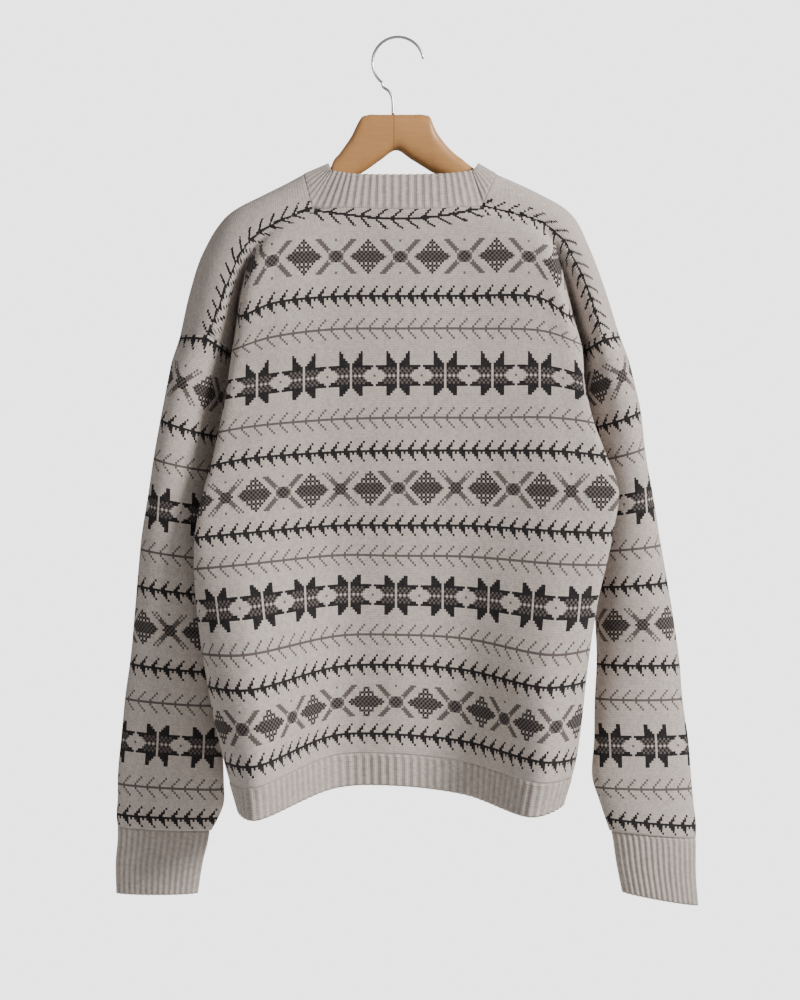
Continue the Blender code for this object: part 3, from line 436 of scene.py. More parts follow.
# The hanger's block, and how its arms follow the shoulders' ridges
HANGER = (
    Station(-77, 140.2, 163, 10), Station(-68.5, 136, 159, 10), Station(-65.5, 128.5, 157, 10),
    Station(-60, 122, 153.5, 10), Station(-53.5, 113, 150, 10), Station(-46, 101.5, 146.5, 10),
    Station(-40.5, 90, 143.5, 10), Station(-36.5, 83.4, 141.5, 10), Station(-30, 80.7, 137.5, 10),
    Station(-16, 80.3, 127.5, 10), Station(0, 80.3, 117.5, 10), Station(16, 80.3, 127, 10),
    Station(30.5, 80.7, 136, 10), Station(36, 83, 139.5, 10), Station(41, 95, 142, 10),
    Station(49.5, 108, 146, 10), Station(61, 120.5, 152.5, 10), Station(70.5, 127.7, 157, 10),
    Station(75, 131.5, 159.5, 10), Station(84, 138, 164, 10),
)

# Bands down the body and the sleeves, by the course of the middle row
BODY_BANDS = (
    Band(235.3, Motif.DIAMOND, 30, 2), Band(275.3, Motif.DARK_VINE), Band(308.7, Motif.BROWN_VINE),
    Band(356.4, Motif.STAR, 22, 1), Band(400.5, Motif.BROWN_VINE), Band(433.4, Motif.DARK_VINE),
    Band(471.4, Motif.DIAMOND, 27, 1), Band(510.0, Motif.DARK_VINE), Band(542.1, Motif.BROWN_VINE),
    Band(584.0, Motif.STAR, 22), Band(623.8, Motif.BROWN_VINE), Band(655.3, Motif.DARK_VINE),
    Band(693.1, Motif.DIAMOND, 28, 0), Band(726.7, Motif.DARK_VINE),
)
SLEEVE_BANDS = {
    Side.LEFT: (
        Band(322.0, Motif.DARK_VINE), Band(364.8, Motif.DIAMOND, 27), Band(407.8, Motif.DARK_VINE),
        Band(446.9, Motif.BROWN_VINE), Band(495.7, Motif.STAR, 22), Band(541.9, Motif.BROWN_VINE),
        Band(578.2, Motif.DARK_VINE), Band(620.2, Motif.DIAMOND, 27), Band(661.1, Motif.DARK_VINE),
        Band(696.8, Motif.BROWN_VINE), Band(740.7, Motif.STAR, 22), Band(785.5, Motif.BROWN_VINE),
        Band(817.5, Motif.DARK_VINE),
    ),
    Side.RIGHT: (
        Band(321.0, Motif.DARK_VINE), Band(358.7, Motif.DIAMOND, 27), Band(400.7, Motif.DARK_VINE),
        Band(436.9, Motif.BROWN_VINE), Band(485.8, Motif.STAR, 22), Band(534.0, Motif.BROWN_VINE),
        Band(572.4, Motif.DARK_VINE), Band(614.9, Motif.DIAMOND, 27), Band(658.0, Motif.DARK_VINE),
        Band(693.7, Motif.BROWN_VINE), Band(742.0, Motif.STAR, 22), Band(786.0, Motif.BROWN_VINE),
        Band(822.0, Motif.DARK_VINE),
    ),
}

# One quarter of the star, from its top row down to its middle row, and from its centre line
# out to the axis of the small ring between two stars: # charcoal, + charcoal and brown by
# turns, - brown and ground by turns, . ground
STAR_QUARTER = (
    ".....#......",
    "....##......",
    "....##......",
    "...###......",
    "..####......",
    ".#####......",
    ".##########.",
    ".#++++++##..",
    ".+++++++....",
    ".++++++.....",
    ".------....+",
)


# The diamond band, in stitches and rows: its half height, the diamond's half width and height,
# the dark heart's half height, the cross's half width, and its arms' run and half thickness
DIAMOND_ROWS, DIAMOND_X, DIAMOND_Y, HEART_ROWS = 7, 8.1, 7.5, 2
CROSS_HEART, CROSS_REACH, ARM_RUN, HALF_ARM, ARM_CORE = 3, 9, 1.15, 2.1, 0.7
# Rows of a vine on either side of its stem
VINE_ROWS = 4


def star_stitch(column: int, row: int, repeat: int) -> Yarn:
    """The yarn of one stitch of the star band, counted from the middle of a star.

    Args:
        column: Stitches to the right of the star's centre line.
        row: Rows above its middle row.
        repeat: Stitches from one star to the next.

    Returns:
        The stitch's yarn.
    """
    beside = (column + repeat // 2) % repeat - repeat // 2
    if abs(row) >= len(STAR_QUARTER):
        return Yarn.GROUND
    mark = STAR_QUARTER[len(STAR_QUARTER) - 1 - abs(row)][abs(beside)]
    if mark == "+":
        return Yarn.BROWN if (column + row) % 2 else Yarn.CHARCOAL
    if mark == "-":
        return Yarn.BROWN if column % 2 else Yarn.GROUND
    return Yarn.CHARCOAL if mark == "#" else Yarn.GROUND


def diamond_stitch(column: int, row: int, repeat: int) -> Yarn:
    """The yarn of one stitch of the diamond band, counted from the middle of a cross.

    Args:
        column: Stitches to the right of the cross's centre.
        row: Rows above its middle row.
        repeat: Stitches from one cross to the next.

    Returns:
        The stitch's yarn.
    """
    cross = abs((column + repeat // 2) % repeat - repeat // 2)
    height = abs(row)
    checked = (column + row) % 2 == 0
    if height > DIAMOND_ROWS:
        return Yarn.GROUND
    in_diamond = (repeat / 2 - cross) / DIAMOND_X + height / DIAMOND_Y <= 1
    in_heart = height <= HEART_ROWS and (in_diamond or cross + height <= CROSS_HEART)
    if in_heart:
        return Yarn.CHARCOAL if checked else Yarn.BROWN
    if in_diamond:
        if checked:
            return Yarn.CHARCOAL
        return Yarn.GROUND if row % 2 else Yarn.BROWN
    off_arm = abs(cross - ARM_RUN * height)
    if off_arm <= HALF_ARM and cross <= CROSS_REACH:
        return Yarn.BROWN if checked or off_arm <= ARM_CORE else Yarn.GROUND
    return Yarn.BROWN if cross == 0 and height == DIAMOND_ROWS else Yarn.GROUND


def vine_stitch(column: int, row: int, repeat: int, yarn: Yarn) -> Yarn:
    """The yarn of one stitch of a vine: a stem row with branches that lean away from it.

    Args:
        column: Stitches to the right of a place where two branches leave the stem.
        row: Rows above the stem.
        repeat: Stitches from one pair of branches to the next.
        yarn: The vine's own yarn.

    Returns:
        The stitch's yarn.
    """
    height = abs(row)
    if height == 0 or (row == -1 and yarn is Yarn.CHARCOAL and column % 2 == 0):
        return yarn
    if height > VINE_ROWS:
        return Yarn.GROUND
    width = 2 if height < 3 and yarn is Yarn.CHARCOAL else 1
    return yarn if (column - height + 1) % repeat < width else Yarn.GROUND


def band_stitch(bands: Sequence[Band], column: int, course: float) -> Yarn:
    """The yarn of the stitch in this column at this course.

    Args:
        bands: The piece's bands, of which the nearest counts.
        column: Stitches to the right of the piece's own middle.
        course: The middle of the stitch's row.

    Returns:
        The stitch's yarn.
    """
    band = min(bands, key=lambda one: abs(one.course - course))
    row = round((band.course - course) / ROW)
    column -= band.shift
    if band.motif is Motif.STAR:
        return star_stitch(column, row, band.repeat)
    if band.motif is Motif.DIAMOND:
        return diamond_stitch(column, row, band.repeat)
    yarn = Yarn.CHARCOAL if band.motif is Motif.DARK_VINE else Yarn.BROWN
    return vine_stitch(column, row, band.repeat, yarn)


def eased(
    t: np.ndarray, start: np.ndarray, end: np.ndarray, rise: np.ndarray, fall: np.ndarray
) -> np.ndarray:
    """A cubic from start to end, with its slope at each.

    Args:
        t: How far along, from 0 to 1.
        start: The value at 0.
        end: The value at 1.
        rise: The slope at 0.
        fall: The slope at 1.

    Returns:
        The cubic's values.
    """
    return (
        start * (1 + 2 * t) * (1 - t) ** 2
        + rise * t * (1 - t) ** 2
        + end * t**2 * (3 - 2 * t)
        + fall * t**2 * (t - 1)
    )


def through(knots: Sequence[float], values: np.ndarray, at: np.ndarray) -> np.ndarray:
    """Reads a smooth curve through values at knots, straight beyond its ends.

    Args:
        knots: The rising places where the values are given.
        values: One value or one row of values for each knot.
        at: The places to read.

    Returns:
        The curve's values at those places.
    """
    knots, values = np.asarray(knots, float), np.asarray(values, float)
    at = np.asarray(at, float)
    steps = np.diff(knots)
    slopes = np.diff(values, axis=0) / steps.reshape(-1, *[1] * (values.ndim - 1))
    tangents = np.empty_like(values)
    tangents[0], tangents[-1] = slopes[0], slopes[-1]
    for k in range(1, len(knots) - 1):
        share = steps[k - 1] / (steps[k - 1] + steps[k])
        tangents[k] = (1 - share) * slopes[k - 1] + share * slopes[k]
    piece = np.clip(np.searchsorted(knots, at, side="right") - 1, 0, len(knots) - 2)
    width = steps[piece]
    t = (at - knots[piece]) / width
    shape = (*t.shape, *[1] * (values.ndim - 1))
    inside = np.clip(t, 0, 1).reshape(shape)
    beyond = ((t - np.clip(t, 0, 1)) * width).reshape(shape)
    width = width.reshape(shape)
    rise, fall = tangents[piece] * width, tangents[piece + 1] * width
    cubic = eased(inside, values[piece], values[piece + 1], rise, fall)
    edge = np.where(beyond > 0, tangents[piece + 1], tangents[piece])
    return cubic + beyond * edge


def place(line: Sequence[Knot], course: float) -> np.ndarray:
    """The point of a line at this course, with z up.

    Args:
        line: The line's knots.
        course: Where to read it.

    Returns:
        The point's x, y and z.
    """
    table = np.array(line)
    x, y, drop = through(table[:, 0], table[:, 1:], np.array(course))
    return np.array([x, y, -drop])


def across(keys: Sequence[np.ndarray], cells: Sequence[int]) -> np.ndarray:
    """Points along a smooth curve through the keys.

    Args:
        keys: The points that the curve passes.
        cells: How many cells lie between each two keys.

    Returns:
        The curve's points.
    """
    keys = np.array(keys)
    lengths = np.linalg.norm(np.diff(keys, axis=0), axis=1)
    along = np.concatenate([[0], np.cumsum(np.sqrt(lengths + 1))])
    stations = [
        np.linspace(along[k], along[k + 1], count, endpoint=False)
        for k, count in enumerate(cells)
    ]
    return through(along, keys, np.concatenate([*stations, [along[-1]]]))


def strip(vine: np.ndarray, groove: np.ndarray, cells: int) -> np.ndarray:
    """The turned-in stretch beside an armhole.

    Args:
        vine: Its outer end, on the vine.
        groove: Its inner end, in the groove.
        cells: How many cells it has.

    Returns:
        Its points, from the vine to the groove.
    """
    control = vine + 0.6 * (groove - vine) * (1, 0, 1)
    t = np.linspace(0, 1, cells + 1)[:, None]
    return (1 - t) ** 2 * vine + 2 * t * (1 - t) * control + t**2 * groove


def smoothstep(t: np.ndarray) -> np.ndarray:
    """Eases from 0 to 1."""
    t = np.clip(t, 0, 1)
    return t * t * (3 - 2 * t)


def merged(runs: Sequence[np.ndarray]) -> np.ndarray:
    """Runs of points as one run, each starting with the last point of the one before."""
    return np.concatenate([runs[0], *[run[1:] for run in runs[1:]]])


def arc_lengths(points: np.ndarray) -> np.ndarray:
    """The length along a polyline at each of its points."""
    return np.concatenate([[0], np.cumsum(np.linalg.norm(np.diff(points, axis=0), axis=1))])


def evenly(points: np.ndarray, count: int) -> np.ndarray:
    """Count + 1 points at even distances along a polyline."""
    along = arc_lengths(points)
    at = np.linspace(0, along[-1], count + 1)
    return np.stack([np.interp(at, along, points[:, k]) for k in range(3)], axis=1)


def even_steps(start: float, end: float, step: float) -> np.ndarray:
    """Values from start to end, with steps as near to step as fit."""
    return np.linspace(start, end, round(abs(end - start) / step) + 1)


def yoke_courses() -> np.ndarray:
    """Courses from the neck to the armpits, closer together at first."""
    fine = even_steps(YOKE_TOP, FINE_END, ROW / 2)
    return np.concatenate([fine, even_steps(FINE_END, ARMPIT, ROW)[1:]])


def linear(hex_colour: str) -> tuple[float, float, float, float]:
    """An sRGB hex colour as linear red, green, blue and alpha.

    Args:
        hex_colour: The colour, such as "#C9BCB3".

    Returns:
        The linear colour.
    """
    shares = [int(hex_colour[k : k + 2], 16) / 255 for k in (1, 3, 5)]
    values = [s / 12.92 if s <= 0.04045 else ((s + 0.055) / 1.055) ** 2.4 for s in shares]
    return (*values, 1.0)


# Kinds of node, and their settings
MATH, VECTOR = "ShaderNodeMath", "ShaderNodeVectorMath"
MIX, NOISE, BUMP = "ShaderNodeMix", "ShaderNodeTexNoise", "ShaderNodeBump"
COLOURS = {"data_type": "RGBA"}
CLAMPED = {"use_clamp": True}
TIMES, TIMES_PLUS = {"operation": "MULTIPLY"}, {"operation": "MULTIPLY_ADD"}
MINUS, SIZE = {"operation": "SUBTRACT"}, {"operation": "ABSOLUTE"}
SINE, ABOVE = {"operation": "SINE"}, {"operation": "GREATER_THAN"}
SCALED = {"operation": "SCALE"}


def add_node(
    tree: bpy.types.NodeTree,
    kind: str,
    settings: dict | None = None,
    **links: object,
) -> bpy.types.Node:
    """Adds a node with its settings and what feeds it.

    Args:
        tree: The material's or world's node tree.
        kind: The node's type.
        settings: The node's own properties, by name.
        **links: Values, sockets or nodes (for their first output) for the node's inputs, by
            name or as i0, i1 and so on.

    Returns:
        The new node.
    """
    node = tree.nodes.new(kind)
    for name, value in (settings or {}).items():
        setattr(node, name, value)
    for name, value in links.items():
        numbered = name[0] == "i" and name[1:].isdigit()
        socket = node.inputs[int(name[1:]) if numbered else name.replace("_", " ")]
        if isinstance(value, bpy.types.Node):
            value = value.outputs[0]
        if isinstance(value, bpy.types.NodeSocket):
            tree.links.new(value, socket)
        else:
            socket.default_value = value
    return node


def new_material(name: str, **values: object) -> bpy.types.Material:
    """A material with these values on its shader's inputs.

    Args:
        name: The material's name.
        **values: The inputs' values by name, with _ for a space.

    Returns:
        The material.
    """
    made = bpy.data.materials.new(name)
    made.use_nodes = True
    shader = made.node_tree.nodes["Principled BSDF"]
    for title, value in values.items():
        shader.inputs[title.replace("_", " ")].default_value = value
    return made


@dataclass(frozen=True)
class StrandedWool:
    """Two-ply wool, knitted with two yarns a row and lightly felted in the wash.

    That makes it matt and softly hairy, with a small V for each stitch. The ground yarn is
    undyed light grey with darker hairs spun in, which mottles it.
    """

    name: str = "Stranded wool, lightly felted"
    ground: str = "#C9BCB3"
    shade: str = "#9F938B"
    brown: str = "#5E5652"
    charcoal: str = "#141316"
    stitch_relief_mm: float = 0.55
    hair_mm: float = 5.0
    clouds_a_metre: float = 14.0
    ribbed: bool = False

    def material(self) -> bpy.types.Material:
        """Builds the wool's material, which reads the yarn of each stitch and paints shade into the
        low parts of each stitch.

        Returns:
            The material.
        """
        wool = new_material(
            self.name,
            Roughness=0.95,
            Specular_IOR_Level=0.08,
            Sheen_Weight=0.05,
            Sheen_Roughness=0.6,
        )
        tree = wool.node_tree
        shader = tree.nodes["Principled BSDF"]
        uv = add_node(tree, "ShaderNodeUVMap", {"uv_map": "Knit"})
        parts = add_node(tree, "ShaderNodeSeparateXYZ", i0=uv)
        height = self._stitch_height(tree, parts)
        spot = add_node(tree, "ShaderNodeTexCoord").outputs["Object"]
        hairs = 1000 / self.hair_mm
        hair = add_node(tree, NOISE, Vector=spot, Scale=hairs, Detail=5.0, Roughness=0.7)
        mottle = self._mottle(tree, uv, hair, spot)
        ends = {"i6": linear(self.shade), "i7": linear(self.ground)}
        colour = add_node(tree, MIX, COLOURS, i0=mottle, **ends).outputs[2]
        if self.ribbed:
            colour = self._furrows(tree, parts, colour)
        else:
            colour = self._yarns(tree, colour, mottle)
        # Painted shade: the colour is darkened where a stitch is low, in the valleys between its
        # strands, on top of the bump
        painted_valley_shade = add_node(tree, "ShaderNodeMapRange", i0=height, i3=0.72, i4=1.06)
        shaded = add_node(tree, VECTOR, SCALED, i0=colour, Scale=painted_valley_shade)
        tree.links.new(shaded.outputs[0], shader.inputs["Base Color"])
        relief = add_node(tree, MATH, TIMES_PLUS, i0=hair, i1=0.7, i2=height)
        depth = self.stitch_relief_mm * MM
        bump = add_node(tree, BUMP, Strength=0.8, Distance=depth, Height=relief)
        tree.links.new(bump.outputs[0], shader.inputs["Normal"])
        return wool

    def _stitch_height(
        self, tree: bpy.types.NodeTree, parts: bpy.types.Node
    ) -> bpy.types.NodeSocket:
        """The height of each V stitch: two strands that lean out from the column's middle.

        Args:
            tree: The wool's nodes.
            parts: The place on the map of stitches, across and up.

        Returns:
            The height, from 0 to about 1.
        """
        within = add_node(tree, MATH, {"operation": "FRACT"}, i0=parts)
        middle = add_node(tree, MATH, MINUS, i0=within, i1=0.5)
        side = add_node(tree, MATH, SIZE, i0=middle)
        lean = add_node(tree, MATH, TIMES_PLUS, i0=side, i1=1.1, i2=parts.outputs[1])
        turn = add_node(tree, MATH, TIMES, i0=lean, i1=2 * pi)
        wave = add_node(tree, MATH, SINE, i0=turn)
        strand = add_node(tree, MATH, TIMES_PLUS, i0=wave, i1=0.3, i2=0.6)
        arch = add_node(tree, MATH, TIMES, i0=side, i1=2 * pi)
        groove = add_node(tree, MATH, SINE, i0=arch)
        soft = add_node(tree, MATH, TIMES_PLUS, i0=groove, i1=0.55, i2=0.45)
        return add_node(tree, MATH, TIMES, i0=strand, i1=soft).outputs[0]

    def _furrows(
        self, tree: bpy.types.NodeTree, parts: bpy.types.Node, colour: bpy.types.NodeSocket
    ) -> bpy.types.NodeSocket:
        """The colour of ribbing: the furrows between two ribs lie in each other's shade.

        Args:
            tree: The wool's nodes.
            parts: The place on the map of stitches, with a rib and a furrow every two.
            colour: The colour of the yarn.

        Returns:
            The colour with its furrows darker.
        """
        turn = add_node(tree, MATH, TIMES, i0=parts, i1=pi)
        wave = add_node(tree, MATH, SINE, i0=turn)
        light = add_node(tree, MATH, TIMES_PLUS, i0=wave, i1=-0.13, i2=0.88)
        return add_node(tree, VECTOR, SCALED, i0=colour, Scale=light).outputs[0]

    def _mottle(
        self,
        tree: bpy.types.NodeTree,
        uv: bpy.types.Node,
        hair: bpy.types.Node,
        spot: bpy.types.NodeSocket,
    ) -> bpy.types.NodeSocket:
        """How light the ground yarn is, by its stitches, its hairs and broad clouds.

        Args:
            tree: The wool's nodes.
            uv: The map of stitches.
            hair: The noise of the hairs.
            spot: The place on the garment.

        Returns:
            The lightness, from 0 to 1.
        """
        cell = add_node(tree, VECTOR, {"operation": "FLOOR"}, i0=uv)
        each = add_node(tree, "ShaderNodeTexWhiteNoise", {"noise_dimensions": "2D"}, Vector=cell)
        cloud = add_node(tree, NOISE, Vector=spot, Scale=self.clouds_a_metre, Detail=2.0)
        first = add_node(tree, MATH, TIMES_PLUS, i0=each, i1=0.45, i2=-0.1)
        second = add_node(tree, MATH, TIMES_PLUS, i0=hair, i1=0.9, i2=first)
        third = add_node(tree, MATH, TIMES_PLUS | CLAMPED, i0=cloud, i1=0.3, i2=second)
        return third.outputs[0]

    def _yarns(
        self,
        tree: bpy.types.NodeTree,
        ground: bpy.types.NodeSocket,
        mottle: bpy.types.NodeSocket,
    ) -> bpy.types.NodeSocket:
        """The colour of each stitch by its yarn.

        Args:
            tree: The wool's nodes.
            ground: The colour of the ground yarn.
            mottle: Its lightness, which also thins the dark yarns a little.

        Returns:
            The colour.
        """
        yarn = add_node(tree, "ShaderNodeAttribute", {"attribute_name": "yarn"}).outputs["Fac"]
        is_dark = add_node(tree, MATH, ABOVE, i0=yarn, i1=(Yarn.GROUND + Yarn.BROWN) / 2)
        is_charcoal = add_node(tree, MATH, ABOVE, i0=yarn, i1=(Yarn.BROWN + Yarn.CHARCOAL) / 2)
        ends = {"i6": linear(self.brown), "i7": linear(self.charcoal)}
        dye = add_node(tree, MIX, COLOURS, i0=is_charcoal, **ends)
        cover = add_node(tree, MATH, TIMES_PLUS, i0=mottle, i1=-0.04, i2=1.0)
        amount = add_node(tree, MATH, TIMES | CLAMPED, i0=is_dark, i1=cover)
        return add_node(tree, MIX, COLOURS, i0=amount, i6=ground, i7=dye.outputs[2]).outputs[2]


@dataclass(frozen=True)
class VarnishedBeech:
    """Steamed beech, sanded and varnished: warm, fine grained, softly glossy."""

    name: str = "Beech, varnished"
    light: str = "#BC8A54"
    dark: str = "#9A693A"
    glue_line: str = "#7C5530"
    grain_mm: float = 1.6
    flecks_a_metre: float = 60.0
    joint_x_mm: float = -2.1
    half_joint_mm: float = 0.4

    def material(self) -> bpy.types.Material:
        """Builds the wood, with grain along the arms and a fine glued joint in the middle.

        Returns:
            The material.
        """
        wood = new_material(self.name, Roughness=0.42, Coat_Weight=0.25, Coat_Roughness=0.25)
        tree = wood.node_tree
        shader = tree.nodes["Principled BSDF"]
        spot = add_node(tree, "ShaderNodeTexCoord").outputs["Object"]
        long = add_node(tree, "ShaderNodeMapping", Vector=spot, Scale=(0.06, 1.0, 1.0))
        grains = 1000 / self.grain_mm
        grain = add_node(tree, NOISE, Vector=long, Scale=grains, Detail=4.0, Roughness=0.6)
        fleck = add_node(tree, NOISE, Vector=long, Scale=self.flecks_a_metre, Detail=2.0)
        tone = add_node(tree, MATH, TIMES_PLUS | CLAMPED, i0=grain, i1=0.8, i2=0.1)
        both = add_node(tree, MATH, TIMES_PLUS | CLAMPED, i0=fleck, i1=0.5, i2=tone)
        less = add_node(tree, MATH, MINUS | CLAMPED, i0=both, i1=0.25)
        ends = {"i6": linear(self.dark), "i7": linear(self.light)}
        colour = add_node(tree, MIX, COLOURS, i0=less, **ends)
        x = add_node(tree, "ShaderNodeSeparateXYZ", i0=spot)
        joint = {"i1": self.joint_x_mm * MM, "i2": self.half_joint_mm * MM}
        there = add_node(tree, MATH, {"operation": "COMPARE"}, i0=x, **joint)
        ends = {"i6": colour.outputs[2], "i7": linear(self.glue_line)}
        seam = add_node(tree, MIX, COLOURS, i0=there, **ends)
        tree.links.new(seam.outputs[2], shader.inputs["Base Color"])
        bump = add_node(tree, BUMP, Strength=0.15, Distance=0.3 * MM, Height=grain)
        tree.links.new(bump.outputs[0], shader.inputs["Normal"])
        return wood


@dataclass(frozen=True)
class PlainFinish:
    """A finish of one colour, such as drawn steel wire or turned horn."""

    name: str
    colour: str
    metallic: float
    roughness: float

    def material(self) -> bpy.types.Material:
        """Builds the finish."""
        values = {"Metallic": self.metallic, "Roughness": self.roughness}
        return new_material(self.name, Base_Color=linear(self.colour), **values)


# Zinc-plated steel wire: grey, bright, a little brushed by drawing
WIRE = PlainFinish("Steel wire, zinc plated", "#C9C9C7", 1.0, 0.28)
# Turned horn: near black brown, polished
HORN = PlainFinish("Horn, turned and polished", "#3A2A20", 0.0, 0.3)
# Painted floor: pale and matt
FLOOR = PlainFinish("Floor paint, matt", "#E8E8E6", 0.0, 0.9)


def made_object(name: str, mesh: bpy.types.Mesh, smooth: bool = True) -> bpy.types.Object:
    """Links a mesh into the scene.

    Args:
        name: The object's name.
        mesh: Its mesh.
        smooth: Whether its faces are shaded smooth.

    Returns:
        The object.
    """
    if smooth:
        mesh.shade_smooth()
    thing = bpy.data.objects.new(name, mesh)
    bpy.context.collection.objects.link(thing)
    return thing


def add_wall(thing: bpy.types.Object, thickness: float) -> bpy.types.SolidifyModifier:
    """Gives a piece's outer face its wall, which grows inwards."""
    wall = thing.modifiers.new("Wall", "SOLIDIFY")
    wall.thickness = thickness * MM
    wall.offset = -1
    return wall


def settle(thing: bpy.types.Object, node: str, material: bpy.types.Material) -> None:
    """Dresses a piece, rides it on the part and lets it stand for its node.

    Args:
        thing: The piece.
        node: The node that it stands for.
        material: Its finish.
    """
    thing.data.materials.append(material)
    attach(thing, "root")
    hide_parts(node)
    LOG.info("%s: %d faces", thing.name, len(thing.data.polygons))


class KnitBlock(NamedTuple):
    """Rows of a knitted stretch: each row is a polyline, and u is nought at its centre."""

    courses: np.ndarray
    rows: list[np.ndarray]
    centres: np.ndarray
    limits: np.ndarray


def plain_block(courses: np.ndarray, rows: list[np.ndarray], centre: int) -> KnitBlock:
    """A stretch without limits to its pattern.

    Args:
        courses: The rows' courses.
        rows: The rows.
        centre: Which point of each row is its centre.

    Returns:
        The stretch.
    """
    centres = np.array([arc_lengths(row)[centre] for row in rows])
    return KnitBlock(courses, rows, centres, np.tile(EVERYWHERE, (len(rows), 1)))


@dataclass
class KnittedPiece:
    """A knitted panel with one mesh cell for each stitch, so that patterns keep its grid."""

    name: str
    blocks: list[KnitBlock]
    bands: Sequence[Band]
    vines: list[np.ndarray] = field(default_factory=list)
    first_column: int = 0

    def build(self) -> bpy.types.Object:
        """Builds the outer face of the panel and gives it its wall.

        Returns:
            The panel, with the yarn of every stitch and a map of its stitches.
        """
        points, stitches, cells, marks = [], [], [], []
        for block in self.blocks:
            start = sum(len(part) for part in points)
            grid, u = self._grid(block)
            rows, columns = u.shape
            points.append(grid.reshape(-1, 3))
            v = np.repeat(-block.courses[:, None] / ROW, columns, axis=1)
            stitches.append(np.stack([u / STITCH + 0.5, v], axis=2).reshape(-1, 2))
            index = start + np.arange(rows * columns).reshape(rows, columns)
            width = np.abs(np.diff(u, axis=1))
            kept = (width[:-1] > 1e-6) | (width[1:] > 1e-6)
            for r, c in zip(*np.nonzero(kept)):
                cells.append((index[r, c], index[r + 1, c], index[r + 1, c + 1], index[r, c + 1]))
                middle = (block.courses[r] + block.courses[r + 1]) / 2
                centre_u = (u[r, c] + u[r, c + 1] + u[r + 1, c] + u[r + 1, c + 1]) / 4
                low, high = block.limits[r]
                marks.append((centre_u, middle, low < centre_u < high))
        return self._mesh(np.concatenate(points), np.concatenate(stitches), cells, marks)

    def _grid(self, block: KnitBlock) -> tuple[np.ndarray, np.ndarray]:
        """The block's points at the edges of its stitches.

        Args:
            block: The stretch of rows.

        Returns:
            The points by row and column, and their distances from the row's centre.
        """
        lengths = [arc_lengths(row) for row in block.rows]
        low = min(-centre for centre in block.centres)
        high = max(along[-1] - centre for along, centre in zip(lengths, block.centres))
        first, last = int(np.floor(low / STITCH)) - 1, int(np.ceil(high / STITCH)) + 1
        edges = (np.arange(first, last + 1) - 0.5) * STITCH
        grid, u = [], []
        for row, along, centre in zip(block.rows, lengths, block.centres):
            at = np.clip(edges + centre, 0, along[-1])
            near = np.abs(at[:, None] - np.array([0, along[-1]])) < SNAP
            at = np.where(near[:, 0], 0, np.where(near[:, 1], along[-1], at))
            grid.append(np.stack([np.interp(at, along, row[:, k]) for k in range(3)], axis=1))
            u.append(at - centre)
        return np.array(grid), np.array(u)

    def _mesh(
        self,
        points: np.ndarray,
        stitches: np.ndarray,
        cells: list[tuple[int, ...]],
        marks: list[tuple[float, float, bool]],
    ) -> bpy.types.Object:
        """Joins equal points, and makes the mesh with its yarns and its map.

        Args:
            points: Every block's points.
            stitches: The same points on the map of stitches.
            cells: The points of each cell.
            marks: Each cell's place along its row, its course and whether it is patterned.

        Returns:
            The panel.
        """
        keys = np.round(points, 3)
        _, first, joined = np.unique(keys, axis=0, return_index=True, return_inverse=True)
        joined = joined.ravel()
        faces, yarns, maps = [], [], []
        for cell, (u, course, patterned) in zip(cells, marks):
            corners, own = [], []
            for corner in cell:
                vertex = int(joined[corner])
                if vertex not in corners:
                    corners.append(vertex)
                    own.append(corner)
            if len(corners) < 3:
                continue
            faces.append(corners)
            maps.extend(stitches[corner] for corner in own)
            yarns.append(self._yarn(points[list(own)].mean(axis=0), u, course, patterned))
        mesh = bpy.data.meshes.new(self.name)
        mesh.from_pydata((points[first] * MM).tolist(), [], faces)
        chart = mesh.uv_layers.new(name="Knit")
        chart.data.foreach_set("uv", np.array(maps, np.float32).ravel())
        yarn = mesh.attributes.new("yarn", "FLOAT", "FACE")
        yarn.data.foreach_set("value", np.array(yarns, np.float32))
        thing = made_object(self.name, mesh)
        thing.vertex_groups.new(name="Inside")
        add_wall(thing, WALL).shell_vertex_group = "Inside"
        inside = thing.modifiers.new("Plainer inside", "DECIMATE")
        inside.ratio = KEPT_SHARE
        inside.vertex_group = "Inside"
        return thing

    def _yarn(self, point: np.ndarray, u: float, course: float, patterned: bool) -> float:
        """The yarn of one stitch.

        Args:
            point: The stitch's middle.
            u: Its place along the row from the row's centre.
            course: Its course.
            patterned: Whether the bands reach it.

        Returns:
            The yarn.
        """
        near = False
        for vine in self.vines if -point[2] < ARMPIT + 2 * VINE_REACH else ():
            ends = vine[1:, :3] - vine[:-1, :3]
            share = np.einsum("ij,ij->i", point - vine[:-1, :3], ends)
            share = np.clip(share / np.einsum("ij,ij->i", ends, ends), 0, 1)
            gaps = np.linalg.norm(vine[:-1, :3] + ends * share[:, None] - point, axis=1)
            k = int(np.argmin(gaps))
            if gaps[k] < VINE_REACH:
                along = vine[k, 3] + share[k] * (vine[k + 1, 3] - vine[k, 3])
                phase = (along - gaps[k]) % VINE_PITCH
                if gaps[k] < HALF_STEM or min(phase, VINE_PITCH - phase) < HALF_BRANCH:
                    return Yarn.CHARCOAL
                near = True
        if near or not self.bands or not patterned:
            return Yarn.GROUND
        return band_stitch(self.bands, int(round(u / STITCH)) + self.first_column, course)


def side_point(lines: dict, name: str, side: Side, course: float) -> np.ndarray:
    """A point of the groove above the armpit, and of the side seam below it.

    Args:
        lines: The lines of the back or the fronts.
        name: The groove's name among them.
        side: The wearer's side.
        course: Where to read it.

    Returns:
        The point.
    """
    line = lines[name] if course <= ARMPIT else SIDE_SEAMS[side.value]
    return place(line, course)


